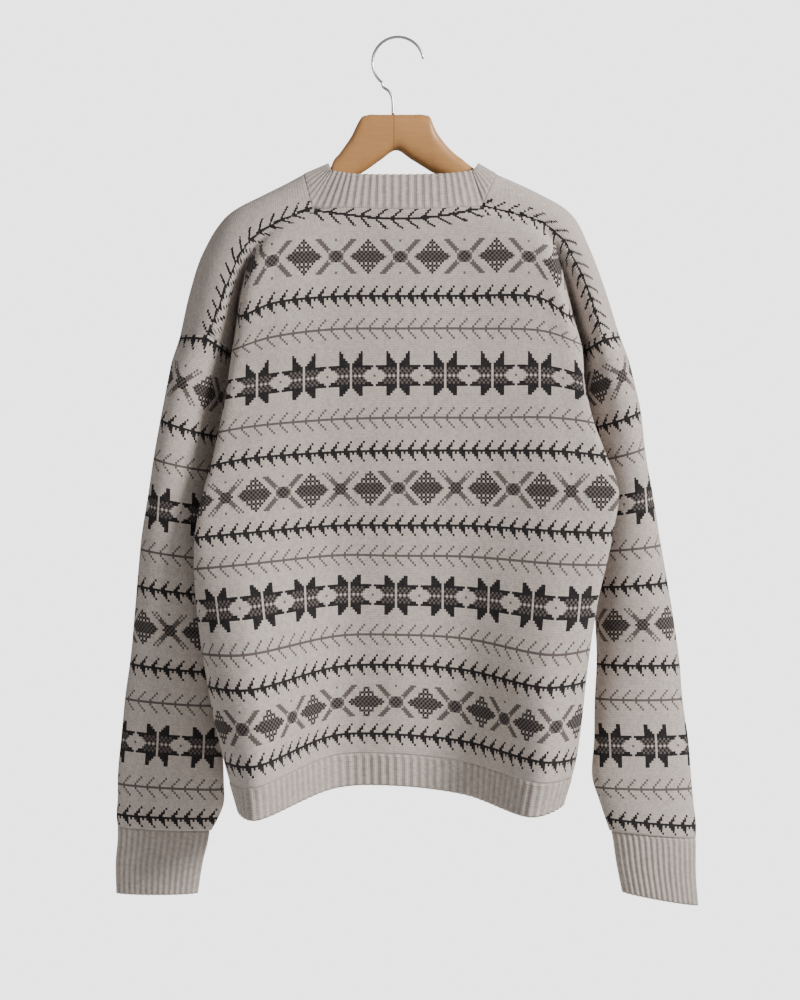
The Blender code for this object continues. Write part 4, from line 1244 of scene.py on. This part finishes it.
def back_section(course: float) -> np.ndarray:
    """The back from side seam to side seam at one course.

    Args:
        course: The course.

    Returns:
        Its points, from left to right.
    """
    inner = ("edge_left", "crest_left", "recess_left", "centre")
    inner += ("recess_right", "crest_right", "edge_right")
    keys = [side_point(BACK_LINES, "groove_left", Side.LEFT, course)]
    keys += [place(BACK_LINES[name], course) for name in inner]
    keys += [side_point(BACK_LINES, "groove_right", Side.RIGHT, course)]
    return across(keys, BACK_CELLS)


def fold_depths(points: np.ndarray, course: float) -> np.ndarray:
    """How far the fronts' soft folds fall back.

    Args:
        points: Points of a front at one course.
        course: The course.

    Returns:
        The depth at each point.
    """
    growth = smoothstep((course - FOLDS_START) / (FOLDS_FULL - FOLDS_START))
    depth = np.zeros(len(points))
    for fold in FRONT_FOLDS:
        reach = np.clip(np.abs(points[:, 0] - fold.x) / fold.half_width, 0, 1)
        depth += fold.depth * growth * (1 - reach**2) ** 2
    return depth


def front_section(side: Side, course: float) -> np.ndarray:
    """One front from its side seam to its centre edge at one course.

    Args:
        side: Which front.
        course: The course.

    Returns:
        Its points, from the side seam on.
    """
    lift = BAND_LIFT if side is Side.RIGHT else 0
    edge = place(FRONT_CENTRE, course) + np.array([side.sign * (HALF_BAND + BAND_GAP), lift, 0])
    keys = [side_point(FRONT_LINES, f"groove_{side.value}", side, course)]
    keys += [place(FRONT_LINES[f"{name}_{side.value}"], course) for name in ("corner", "mid")]
    points = across([*keys, edge], FRONT_CELLS)
    points[:, 1] -= fold_depths(points, course)
    return points


def section_ring(section: Section, angles: np.ndarray, side: Side) -> np.ndarray:
    """The round of a sleeve at one level.

    Args:
        section: Its sizes.
        angles: Where its points lie: 0 faces the camera, and a quarter turn on is outermost.
        side: The wearer's side.

    Returns:
        Its points.
    """
    reach = sqrt(section.half_x**2 + (section.lean * section.half_y) ** 2)
    near, outward = np.cos(angles), np.sin(angles)
    shift = outward * section.half_x + near * section.lean * section.half_y
    x = section.outer + side.sign * (shift - reach)
    y = section.y - near * section.half_y
    z = -section.drop + section.tilt * outward
    return np.stack([x, y, z], axis=1)


def cap_arch(side: Side, course: float, points: int = 60) -> np.ndarray:
    """The arch of a shoulder cap at one course.

    Args:
        side: The wearer's side.
        course: The course.
        points: How many cells it has.

    Returns:
        Its points, from the back over the ridge to the front.
    """
    turns = np.linspace(0, pi, points + 1)[:, None]
    back = place(BACK_LINES[f"vine_{side.value}"], course)
    front = place(FRONT_LINES[f"vine_{side.value}"], course)
    middle = (back + front) / 2
    arch = middle + np.cos(turns) * (back - middle)
    arch += np.sin(turns) * (place(RIDGES[side.value], course) - middle)
    arch[0], arch[-1] = back, front
    return arch


def vine_path(lines: dict, side: Side) -> np.ndarray:
    """A vine's line down an armhole.

    Args:
        lines: The lines of the back or the fronts.
        side: The wearer's side.

    Returns:
        Its points, each with its length along the vine, which grows to the right.
    """
    courses = np.linspace(YOKE_TOP, ARMPIT, VINE_POINTS)
    line = np.array([place(lines[f"vine_{side.value}"], course) for course in courses])
    along = arc_lengths(line)
    return np.concatenate([line, side.sign * (along - along[-1])[:, None]], axis=1)


def neck_vine() -> np.ndarray:
    """The vine's line under the neckband, which dips at the middle.

    Returns:
        Its points, each with its length along the vine, which grows to the right.
    """
    left, right = NECK_VINE_X
    line = []
    for x in np.linspace(left, right, VINE_POINTS):
        beside = (2 * x - left - right) / (right - left)
        row = back_section(YOKE_TOP + 1 + NECK_VINE_DIP * (1 - beside**2))
        line.append([np.interp(x, row[:, 0], row[:, k]) for k in range(3)])
    line = np.array(line)
    along = arc_lengths(line) * VINE_PITCH / NECK_VINE_PITCH
    return np.concatenate([line, along[:, None]], axis=1)


@dataclass
class Back:
    """The patterned back, from side seam to side seam, with its turned-in armhole strips."""

    material: bpy.types.Material
    cut: Cut = Cut(0.520, 0.580, 0.285)

    def build(self) -> None:
        """Builds and dresses the back."""
        vines = [*(vine_path(BACK_LINES, side) for side in Side), neck_vine()]
        blocks = [self._yoke(), self._body()]
        thing = KnittedPiece("back_panel", blocks, BODY_BANDS, vines).build()
        settle(thing, "back", self.material)

    def _yoke(self) -> KnitBlock:
        """The stretch beside the armholes."""
        courses = yoke_courses()
        rows, centres, limits = [], [], []
        for course in courses:
            middle = back_section(course)
            left = strip(place(BACK_LINES["vine_left"], course), middle[0], STRIP_CELLS)
            right = strip(place(BACK_LINES["vine_right"], course), middle[-1], STRIP_CELLS)
            row = merged([left, middle, right[::-1]])
            along = arc_lengths(row)
            centre = along[STRIP_CELLS + BACK_MIDDLE]
            rows.append(row)
            centres.append(centre)
            limits.append((along[STRIP_CELLS] - centre, along[-STRIP_CELLS - 1] - centre))
        return KnitBlock(courses, rows, np.array(centres), np.array(limits))

    def _body(self) -> KnitBlock:
        """The stretch from the armpits down to the hem."""
        courses = even_steps(ARMPIT, HEM_SEAM, ROW)
        rows = [back_section(course) for course in courses]
        return plain_block(courses, rows, BACK_MIDDLE)


@dataclass
class Front:
    """One patterned front, from its side seam to the band."""

    side: Side
    material: bpy.types.Material
    cut: Cut = Cut(0.270, 0.560, 0.112)

    def build(self) -> None:
        """Builds and dresses the front."""
        own = self.side.value
        vines = [vine_path(FRONT_LINES, self.side)]
        blocks = [self._yoke(), self._body()]
        thing = KnittedPiece(f"{own}_front", blocks, BODY_BANDS, vines).build()
        settle(thing, f"front_{own}", self.material)

    def _yoke(self) -> KnitBlock:
        """The stretch beside the armhole, whose turned-in edge has no pattern."""
        courses = yoke_courses()
        rows, hidden = [], []
        for course in courses:
            row = front_section(self.side, course)
            vine = place(FRONT_LINES[f"vine_{self.side.value}"], course)
            edge = strip(vine, row[0], STRIP_CELLS)
            rows.append(merged([edge, row]))
            hidden.append(arc_lengths(edge)[-1])
        return self._block(courses, rows, hidden)

    def _body(self) -> KnitBlock:
        """The stretch from the armpit down to the hem."""
        courses = even_steps(ARMPIT, HEM_SEAM, ROW)
        return self._block(courses, [front_section(self.side, course) for course in courses])

    def _block(
        self, courses: np.ndarray, rows: list[np.ndarray], hidden: Sequence[float] = ()
    ) -> KnitBlock:
        """One stretch, with its rows from left to right and their centres at the band.

        Args:
            courses: The rows' courses.
            rows: The rows, from the side seam on.
            hidden: The length without pattern at the start of each row, where there is one.

        Returns:
            The stretch.
        """
        lengths = np.array([arc_lengths(row)[-1] for row in rows])
        reach = lengths - hidden if len(hidden) else np.full(len(rows), EVERYWHERE[1])
        beyond = np.full(len(rows), EVERYWHERE[1])
        if self.side is Side.LEFT:
            limits = np.stack([-beyond, reach], axis=1)
            return KnitBlock(courses, [row[::-1] for row in rows], np.zeros(len(rows)), limits)
        return KnitBlock(courses, rows, lengths, np.stack([-reach, beyond], axis=1))


@dataclass
class ShoulderCap:
    """The plain cap over one shoulder, from the neckband to the sleeve."""

    side: Side
    material: bpy.types.Material
    cut: Cut = Cut(0.160, 0.220, 0.026)
    ridge_points: int = 90

    def build(self) -> None:
        """Builds and dresses the cap."""
        own = self.side.value
        courses = np.linspace(YOKE_TOP, ARMPIT, self.ridge_points)
        lengths = arc_lengths(np.array([place(RIDGES[own], course) for course in courses]))
        even = even_steps(0, lengths[-1], ROW / 2)
        rows = [cap_arch(self.side, course) for course in np.interp(even, lengths, courses)]
        if self.side is Side.LEFT:
            rows = [row[::-1] for row in rows]
        vines = [vine_path(lines, self.side) for lines in (BACK_LINES, FRONT_LINES)]
        block = plain_block(even, rows, len(rows[0]) // 2)
        thing = KnittedPiece(f"{own}_shoulder_cap", [block], (), vines).build()
        settle(thing, f"shoulder_{own}", self.material)


@dataclass
class Sleeve:
    """One patterned sleeve, a soft flattened tube with its seam under the arm.

    Its pattern's first column is given for the left and the right sleeve, and its slope below
    the armhole is read over slope_run.
    """

    side: Side
    material: bpy.types.Material
    cut: Cut = Cut(0.260, 0.520, 0.1235)
    first_columns: tuple[int, int] = (0, -2)
    slope_run: float = 4.0

    def build(self) -> None:
        """Builds and dresses the sleeve."""
        own = self.side.value
        ring = self._armhole()
        angles = self._angles(ring)
        levels = even_steps(-ring[:, 2].mean(), SLEEVES[own][-1].drop, ROW)
        rows = self._rows(ring, angles, levels)
        outer = int(np.argmin(np.abs(angles - pi / 2)))
        if self.side is Side.LEFT:
            rows = [row[::-1] for row in rows]
            outer = len(angles) - 1 - outer
        block = plain_block(levels, rows, outer)
        column = self.first_columns[self.side is Side.RIGHT]
        bands = SLEEVE_BANDS[self.side]
        thing = KnittedPiece(f"{own}_sleeve", [block], bands, first_column=column).build()
        settle(thing, f"sleeve_{own}", self.material)

    def _armhole(self) -> np.ndarray:
        """The armhole from the armpit over the back, the ridge and the front."""
        armpit = place(SIDE_SEAMS[self.side.value], ARMPIT)
        arch = cap_arch(self.side, ARMPIT)
        behind = strip(arch[0], armpit, ARMPIT_CELLS)[::-1]
        before = strip(arch[-1], armpit, ARMPIT_CELLS)
        return evenly(merged([behind, arch, before]), ARMHOLE_CELLS)

    def _angles(self, ring: np.ndarray) -> np.ndarray:
        """Where the armhole's points lie round the sleeve, as section_ring counts it.

        Args:
            ring: The armhole.

        Returns:
            The angles, with a quarter turn near the outer side.
        """
        first = SLEEVES[self.side.value][0]
        centre = ring[:-1].mean(axis=0)
        outward = self.side.sign * (ring[:, 0] - centre[0]) / first.half_x
        near = -(ring[:, 1] - centre[1]) / first.half_y
        angles = np.unwrap(np.arctan2(outward, near))
        return angles + 2 * pi * round((0.5 * pi - angles[len(angles) // 2]) / (2 * pi))

    def _rows(
        self, ring: np.ndarray, angles: np.ndarray, levels: np.ndarray
    ) -> list[np.ndarray]:
        """The sleeve's rows: they ease from the armhole into its first section.

        Args:
            ring: The armhole.
            angles: Where its points lie round the sleeve.
            levels: The rows' drops.

        Returns:
            The rows.
        """
        table = np.array(SLEEVES[self.side.value])
        start, run = levels[0], table[0, 0] - levels[0]
        joined = self._ring(table, table[0, 0], angles)
        slope = (self._ring(table, table[0, 0] + self.slope_run, angles) - joined) / self.slope_run
        rows = []
        for level in levels:
            if level >= table[0, 0]:
                rows.append(self._ring(table, level, angles))
            else:
                t = (level - start) / run
                rows.append(eased(t, ring, joined, joined - ring, slope * run))
        return rows

    def _ring(self, table: np.ndarray, level: float, angles: np.ndarray) -> np.ndarray:
        """The sleeve's section at this level."""
        section = Section(level, *through(table[:, 0], table[:, 1:], np.array(level)))
        return section_ring(section, angles, self.side)


@dataclass
class RibbedPiece:
    """A piece in single rib: rows from its top down, with round ribs along its columns."""

    name: str
    node: str
    grid: np.ndarray
    ribs: int
    material: bpy.types.Material
    cut: Cut
    rests_on: Sequence[str]
    closed: bool = False
    seam: Seam = Seam.TOP

    def build(self) -> None:
        """Builds and dresses the ribbing."""
        rows, columns = self.grid.shape[:2]
        span = columns if self.closed else columns - 1
        phase = np.arange(columns) / span * self.ribs
        relief = -np.cos(2 * pi * phase) * RIB_HEIGHT / 2
        risen = self._growth()[:, None] * relief[None, :]
        outer = self.grid + self._normals() * risen[:, :, None]
        if self.closed:
            outer = np.concatenate([outer, outer[:, :1]], axis=1)
            phase = np.append(phase, self.ribs)
            columns += 1
        down = arc_lengths(self.grid[:, columns // 2]) / ROW
        index = np.arange(rows * columns).reshape(rows, columns)
        if self.closed:
            index[:, -1] = index[:, 0]
        chart = np.stack(np.broadcast_arrays(2 * phase[None, :] + 0.5, -down[:, None]), axis=2)
        used, faces = np.unique(self._corners(index).ravel(), return_inverse=True)
        mesh = bpy.data.meshes.new(self.name)
        points = outer.reshape(-1, 3)[used] * MM
        mesh.from_pydata(points.tolist(), [], faces.reshape(-1, 4).tolist())
        layer = mesh.uv_layers.new(name="Knit")
        layer.data.foreach_set("uv", self._corners(chart).astype(np.float32).ravel())
        thing = made_object(self.name, mesh)
        add_wall(thing, RIB_WALL)
        settle(thing, self.node, self.material)

    def _corners(self, grid: np.ndarray) -> np.ndarray:
        """The grid's values at the four corners of each cell."""
        return np.stack([grid[:-1, :-1], grid[1:, :-1], grid[1:, 1:], grid[:-1, 1:]], axis=2)

    def _growth(self) -> np.ndarray:
        """How far the ribs have risen at each row, from nothing at the seam."""
        along = arc_lengths(self.grid[:, self.grid.shape[1] // 2])
        if self.seam is Seam.NONE:
            return np.ones(len(along))
        distance = along if self.seam is Seam.TOP else along[-1] - along
        return smoothstep(distance / RIB_RISE)

    def _normals(self) -> np.ndarray:
        """Outward normals of the grid's points."""
        down = np.gradient(self.grid, axis=0)
        if self.closed:
            right = np.roll(self.grid, -1, axis=1) - np.roll(self.grid, 1, axis=1)
        else:
            right = np.gradient(self.grid, axis=1)
        normals = np.cross(down, right)
        return normals / np.linalg.norm(normals, axis=2, keepdims=True)


@dataclass
class Hem:
    """The ribbed hem in its three stretches."""

    material: bpy.types.Material
    back_cut: Cut = Cut(0.580, 0.034, 0.0195)
    front_cut: Cut = Cut(0.195, 0.034, 0.0065)
    rows: int = 12

    def build(self) -> None:
        """Builds the back's and the fronts' stretches of the hem."""
        back_ribs, front_ribs = RIBS["hem_back"], RIBS["hem_front"]
        left, middle, right = [], [], []
        for course in np.linspace(HEM_SEAM, HEM_END, self.rows):
            steps = front_ribs * STEPS_PER_RIB
            left.append(evenly(front_section(Side.LEFT, course)[::-1], steps))
            right.append(evenly(front_section(Side.RIGHT, course), steps))
            middle.append(evenly(back_section(course), back_ribs * STEPS_PER_RIB))
        for title, node, rows, ribs, cut, above in (
            ("left_front_hem", "hem_front_left", left, front_ribs, self.front_cut, "front_left"),
            ("back_hem", "hem_back", middle, back_ribs, self.back_cut, "back"),
            ("right_front_hem", "hem_front_right", right, front_ribs, self.front_cut, "front_right"),
        ):
            RibbedPiece(title, node, np.array(rows), ribs, self.material, cut, (above,)).build()


@dataclass
class Cuff:
    """A ribbed cuff, a narrower tube below its sleeve."""

    side: Side
    material: bpy.types.Material
    cut: Cut = Cut(0.210, 0.070, 0.0142)
    row_step: float = 3.0

    def build(self) -> None:
        """Builds and dresses the cuff."""
        own, ribs = self.side.value, RIBS["cuff"]
        table = np.array(CUFFS[own])
        steps = ribs * STEPS_PER_RIB
        angles = np.linspace(0, 2 * pi, steps, endpoint=False)
        rows = []
        for level in even_steps(table[0, 0], table[-1, 0], self.row_step):
            section = Section(level, *through(table[:, 0], table[:, 1:], np.array(level)))
            ring = section_ring(section, angles, self.side)
            rows.append(evenly(np.concatenate([ring, ring[:1]]), steps)[:-1])
        grid = np.array(rows)
        if self.side is Side.LEFT:
            grid = grid[:, ::-1]
        name, node, above = f"{own}_cuff", f"cuff_{own}", (f"sleeve_{own}",)
        RibbedPiece(name, node, grid, ribs, self.material, self.cut, above, closed=True).build()


@dataclass
class Neckband:
    """The ribbed neckband, open at the centre front."""

    material: bpy.types.Material
    cut: Cut = Cut(0.440, 0.052, 0.0175)
    rows: int = 16

    def build(self) -> None:
        """Builds and dresses the neckband."""
        seam = evenly(self._edge(), RIBS["neckband"] * STEPS_PER_RIB)
        top_x = np.interp(seam[:, 0], NECK_SEAM_X, NECK_TOP_X)
        top_y = seam[:, 1] * NECK_TOP_SHARE
        behind = np.clip(top_y / top_y.min(), 0, 1)
        before = np.clip(top_y / top_y.max(), 0, 1)
        drop = NECK_SIDE_TOP + NECK_BACK_FALL * behind**2 + NECK_FRONT_FALL * before**2
        top = np.stack([top_x, top_y, -drop], axis=1)
        grid = top + (seam - top) * np.linspace(0, 1, self.rows)[:, None, None]
        piece = RibbedPiece(
            name="ribbed_neckband",
            node="neckband",
            grid=grid,
            ribs=RIBS["neckband"],
            material=self.material,
            cut=self.cut,
            rests_on=("shoulder_left", "shoulder_right"),
            seam=Seam.BOTTOM,
        )
        piece.build()

    def _edge(self) -> np.ndarray:
        """The neck seam from the left front's edge round the back to the right front's."""
        runs = [
            front_section(Side.LEFT, YOKE_TOP)[::-1],
            self._strip(FRONT_LINES, Side.LEFT)[::-1],
            cap_arch(Side.LEFT, YOKE_TOP)[::-1],
            self._strip(BACK_LINES, Side.LEFT),
            back_section(YOKE_TOP),
            self._strip(BACK_LINES, Side.RIGHT)[::-1],
            cap_arch(Side.RIGHT, YOKE_TOP),
            self._strip(FRONT_LINES, Side.RIGHT),
            front_section(Side.RIGHT, YOKE_TOP),
        ]
        return merged(runs)

    def _strip(self, lines: dict, side: Side) -> np.ndarray:
        """The short turned-in stretch between vine and groove at the neck seam."""
        vine = place(lines[f"vine_{side.value}"], YOKE_TOP)
        groove = place(lines[f"groove_{side.value}"], YOKE_TOP)
        return strip(vine, groove, STRIP_CELLS // 2)


@dataclass
class FrontBands:
    """The two ribbed front bands, one over the other, and the buttons on the upper one."""

    wool: bpy.types.Material
    horn: bpy.types.Material
    cut: Cut = Cut(0.033, 0.590, 0.0193)
    button_gap: float = 0.1
    button_sides: int = 48

    def build(self) -> None:
        """Builds the bands and the buttons."""
        table = np.array(FRONT_CENTRE)
        drops = np.concatenate([[NECK_FRONT_TOP], table[:, 3]])
        depths = np.concatenate([[table[0, 2] * NECK_TOP_SHARE], table[:, 2]])
        levels = even_steps(NECK_FRONT_TOP, HEM_END + 1, BAND_STEP)
        places = np.linspace(HALF_BAND, -HALF_BAND, RIBS["band"] * STEPS_PER_RIB + 1)
        for title, node, lift, front in (
            ("left_button_band", "button_band", 0.0, "front_left"),
            ("right_buttonhole_band", "buttonhole_band", BAND_LIFT, "front_right"),
        ):
            face = through(drops, depths, levels) + lift
            grid = np.array([[(x, y, -level) for x in places] for level, y in zip(levels, face)])
            fixed = (RIBS["band"], self.wool, self.cut, (front,))
            RibbedPiece(title, node, grid, *fixed, seam=Seam.NONE).build()
        seat = BAND_LIFT + RIB_HEIGHT / 2 + self.button_gap
        reach = np.array([-5, 0, 5])
        for k, drop in enumerate(np.linspace(FIRST_BUTTON, LAST_BUTTON, BUTTONS)):
            before, y, after = through(drops, depths, drop + reach)
            self._button(k + 1, drop, y + seat, (after - before) / (reach[2] - reach[0]))

    def _button(self, number: int, drop: float, y: float, slope: float) -> None:
        """A round turned button with a raised rim.

        Args:
            number: Which button, from the top.
            drop: Its middle's drop.
            y: Its seat's y.
            slope: How much y grows for each millimetre of drop there.
        """
        turns = np.linspace(0, 2 * pi, self.button_sides, endpoint=False)[:, None]
        out = np.array([0, 1, slope]) / sqrt(1 + slope**2)
        up = np.array([0, -slope, 1]) / sqrt(1 + slope**2)
        spokes = np.cos(turns) * np.array([-1, 0, 0]) + np.sin(turns) * up
        seat = np.array([0, y, -drop])
        rings = [
            seat + spokes * radius * BUTTON_RADIUS + out * height * BUTTON_THICKNESS
            for radius, height in BUTTON_PROFILE
        ]
        thing = lofted(f"horn_button_{number}", rings)
        settle(thing, f"button_{number}", self.horn)


def lofted(name: str, rings: Sequence[np.ndarray]) -> bpy.types.Object:
    """A closed solid through rings of points.

    Args:
        name: Its name.
        rings: The rings, which turn right about the way they advance.

    Returns:
        The solid.
    """
    count, sides = len(rings), len(rings[0])
    faces = []
    for r in range(count - 1):
        for k in range(sides):
            a, b = r * sides + k, r * sides + (k + 1) % sides
            faces.append((a, b, b + sides, a + sides))
    faces.append(tuple(range(sides))[::-1])
    faces.append(tuple(range((count - 1) * sides, count * sides)))
    mesh = bpy.data.meshes.new(name)
    mesh.from_pydata((np.concatenate(rings) * MM).tolist(), [], faces)
    return made_object(name, mesh)


@dataclass
class Hanger:
    """The wooden hanger, a rounded board with a peaked middle."""

    wood: bpy.types.Material
    sides: int = 48
    squareness: float = 2.5
    step: float = 2.0

    def build(self) -> None:
        """Builds and dresses the hanger."""
        stations = self._stations()
        xs = even_steps(stations[0][0], stations[-1][0], self.step)
        xs = np.union1d(xs, [station[0] for station in stations])
        table = np.array(stations)
        top, bottom, half = through(table[:, 0], table[:, 1:], xs).T
        turns = np.linspace(0, 2 * pi, self.sides, endpoint=False)
        power = 2 / self.squareness
        wide = np.sign(np.cos(turns)) * np.abs(np.cos(turns)) ** power
        high = np.sign(np.sin(turns)) * np.abs(np.sin(turns)) ** power
        rings = []
        for x, upper, lower, thick in zip(xs, top, bottom, half):
            z = -(upper + lower) / 2 + high * (lower - upper) / 2
            rings.append(np.stack([np.full(self.sides, x), wide * thick, z], axis=1))
        settle(lofted("wooden_hanger", rings), "hanger", self.wood)

    def _stations(self) -> list[tuple[float, float, float, float]]:
        """The hanger as x, top, bottom and half thickness, from left to right."""
        arms = {side: [] for side in Side}
        for side, stations in arms.items():
            for course, lower, depth, half in ARM:
                point = place(RIDGES[side.value], course)
                top = -point[2] + SEAT + lower
                stations.append((point[0], top, top + depth, half))
        return arms[Side.LEFT][::-1] + [tuple(one) for one in HANGER] + arms[Side.RIGHT]


@dataclass
class Hook:
    """The wire hook: an arc over the peg, and a shank down to the wood.

    Its rounded tip is given as how far on each section lies and its share of the radius.
    """

    wire: bpy.types.Material
    sides: int = 24
    arc_step: int = 4
    bend_cells: int = 6
    tip: tuple[tuple[float, float], ...] = ((0.0, 0.35), (0.25, 0.7), (0.6, 0.92))

    def build(self) -> None:
        """Builds and dresses the hook."""
        centre = -(HOOK_RADIUS - WIRE_RADIUS)
        arc = []
        for turn in np.radians(np.arange(HOOK_TIP_ANGLE, HOOK_TURN_ANGLE, self.arc_step)):
            x, z = HOOK_RADIUS * cos(turn), HOOK_RADIUS * sin(turn)
            arc.append((HOOK_CENTRE_X + x, 0, centre + z))
        ends = np.array([arc[-1], *[(x, 0, -drop) for x, drop in SHANK]])
        shank = across(ends, [self.bend_cells] * (len(ends) - 1))
        route = merged([np.array(arc), shank])
        ways = np.gradient(route, axis=0)
        ways = ways / np.linalg.norm(ways, axis=1, keepdims=True)
        rings = [self._ring(route[0] + ways[0] * on, ways[0], size) for on, size in self.tip]
        rings += [self._ring(point, way) for point, way in zip(route[1:], ways[1:])]
        settle(lofted("wire_hook", rings), "hanger_hook", self.wire)

    def _ring(self, point: np.ndarray, way: np.ndarray, size: float = 1.0) -> np.ndarray:
        """One round section of the wire.

        Args:
            point: Its middle.
            way: The wire's direction there.
            size: Its radius as a share of the wire's.

        Returns:
            Its points.
        """
        turns = np.linspace(0, 2 * pi, self.sides, endpoint=False)[:, None]
        sideways, deep = np.array([-way[2], 0, way[0]]), np.array([0, 1.0, 0])
        return point + WIRE_RADIUS * size * (np.cos(turns) * sideways - np.sin(turns) * deep)


@dataclass
class Studio:
    """A pale floor, soft light from the right and front, and the camera."""

    floor_drop: float = 1450.0
    floor_radius: float = 1300.0
    backdrop: str = "#E8E8E8"
    ambient: float = 0.3
    glow: float = 3.8
    aim: tuple[float, float, float] = (0.0, 0.0, -0.5)
    camera_at: tuple[float, float, float] = (0.0042, -2.0, -0.4847)
    lens: float = 68.57
    lamps: tuple[Lamp, ...] = (
        Lamp("Key light", (2.3, -1.5, 0.9), 0.9, 175.0),
        Lamp("Fill light", (-1.9, -2.4, 0.2), 1.6, 16.0),
        Lamp("Front light", (0.6, 2.4, 0.8), 1.6, 40.0),
    )

    def build(self) -> None:
        """Sets the floor, the light and the camera."""
        self._floor()
        self._world()
        for lamp in self.lamps:
            self._light(lamp)
        camera = bpy.data.objects.new("Camera", bpy.data.cameras.new("Camera"))
        camera.location = self.camera_at
        camera.rotation_euler = (pi / 2, 0, 0)
        camera.data.sensor_width = 36.0
        camera.data.lens = self.lens
        bpy.context.collection.objects.link(camera)
        bpy.context.scene.camera = camera

    def _floor(self) -> None:
        """A round floor well below the garment."""
        turns = np.linspace(0, 2 * pi, 96, endpoint=False)
        z = -self.floor_drop * MM
        rim = [(self.floor_radius * MM * cos(t), self.floor_radius * MM * sin(t), z) for t in turns]
        mesh = bpy.data.meshes.new("floor")
        mesh.from_pydata(rim, [], [tuple(range(len(rim)))])
        mesh.materials.append(FLOOR.material())
        made_object("floor", mesh, smooth=False)

    def _world(self) -> None:
        """A pale backdrop for the camera, with softer light for everything else."""
        world = bpy.data.worlds.new("Pale room")
        world.use_nodes = True
        tree = world.node_tree
        tree.nodes.clear()
        path = add_node(tree, "ShaderNodeLightPath")
        kind, colour = "ShaderNodeBackground", linear(self.backdrop)
        pale = add_node(tree, kind, Color=colour, Strength=self.glow)
        soft = add_node(tree, kind, Color=(1, 1, 1, 1), Strength=self.ambient)
        seen = path.outputs["Is Camera Ray"]
        mixed = add_node(tree, "ShaderNodeMixShader", i0=seen, i1=soft, i2=pale)
        add_node(tree, "ShaderNodeOutputWorld", Surface=mixed)
        bpy.context.scene.world = world

    def _light(self, lamp: Lamp) -> None:
        """Hangs one light."""
        light = bpy.data.lights.new(lamp.name, "AREA")
        light.size, light.energy = lamp.size, lamp.watts
        thing = bpy.data.objects.new(lamp.name, light)
        thing.location = lamp.at
        way = Vector(self.aim) - Vector(lamp.at)
        thing.rotation_euler = way.to_track_quat("-Z", "Y").to_euler()
        bpy.context.collection.objects.link(thing)


def main() -> None:
    """Builds every piece in the order it would be made, then lights it."""
    logging.basicConfig(level=logging.INFO, format="%(message)s")
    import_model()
    wool = StrandedWool().material()
    ribbing = StrandedWool(name="Ribbed wool, single rib", ribbed=True).material()
    Back(wool).build()
    for side in Side:
        Front(side, wool).build()
        ShoulderCap(side, wool).build()
        Sleeve(side, wool).build()
        Cuff(side, ribbing).build()
    Hem(ribbing).build()
    Neckband(ribbing).build()
    FrontBands(ribbing, HORN.material()).build()
    Hanger(VarnishedBeech().material()).build()
    Hook(WIRE.material()).build()
    Studio().build()


if __name__ == "__main__":
    main()
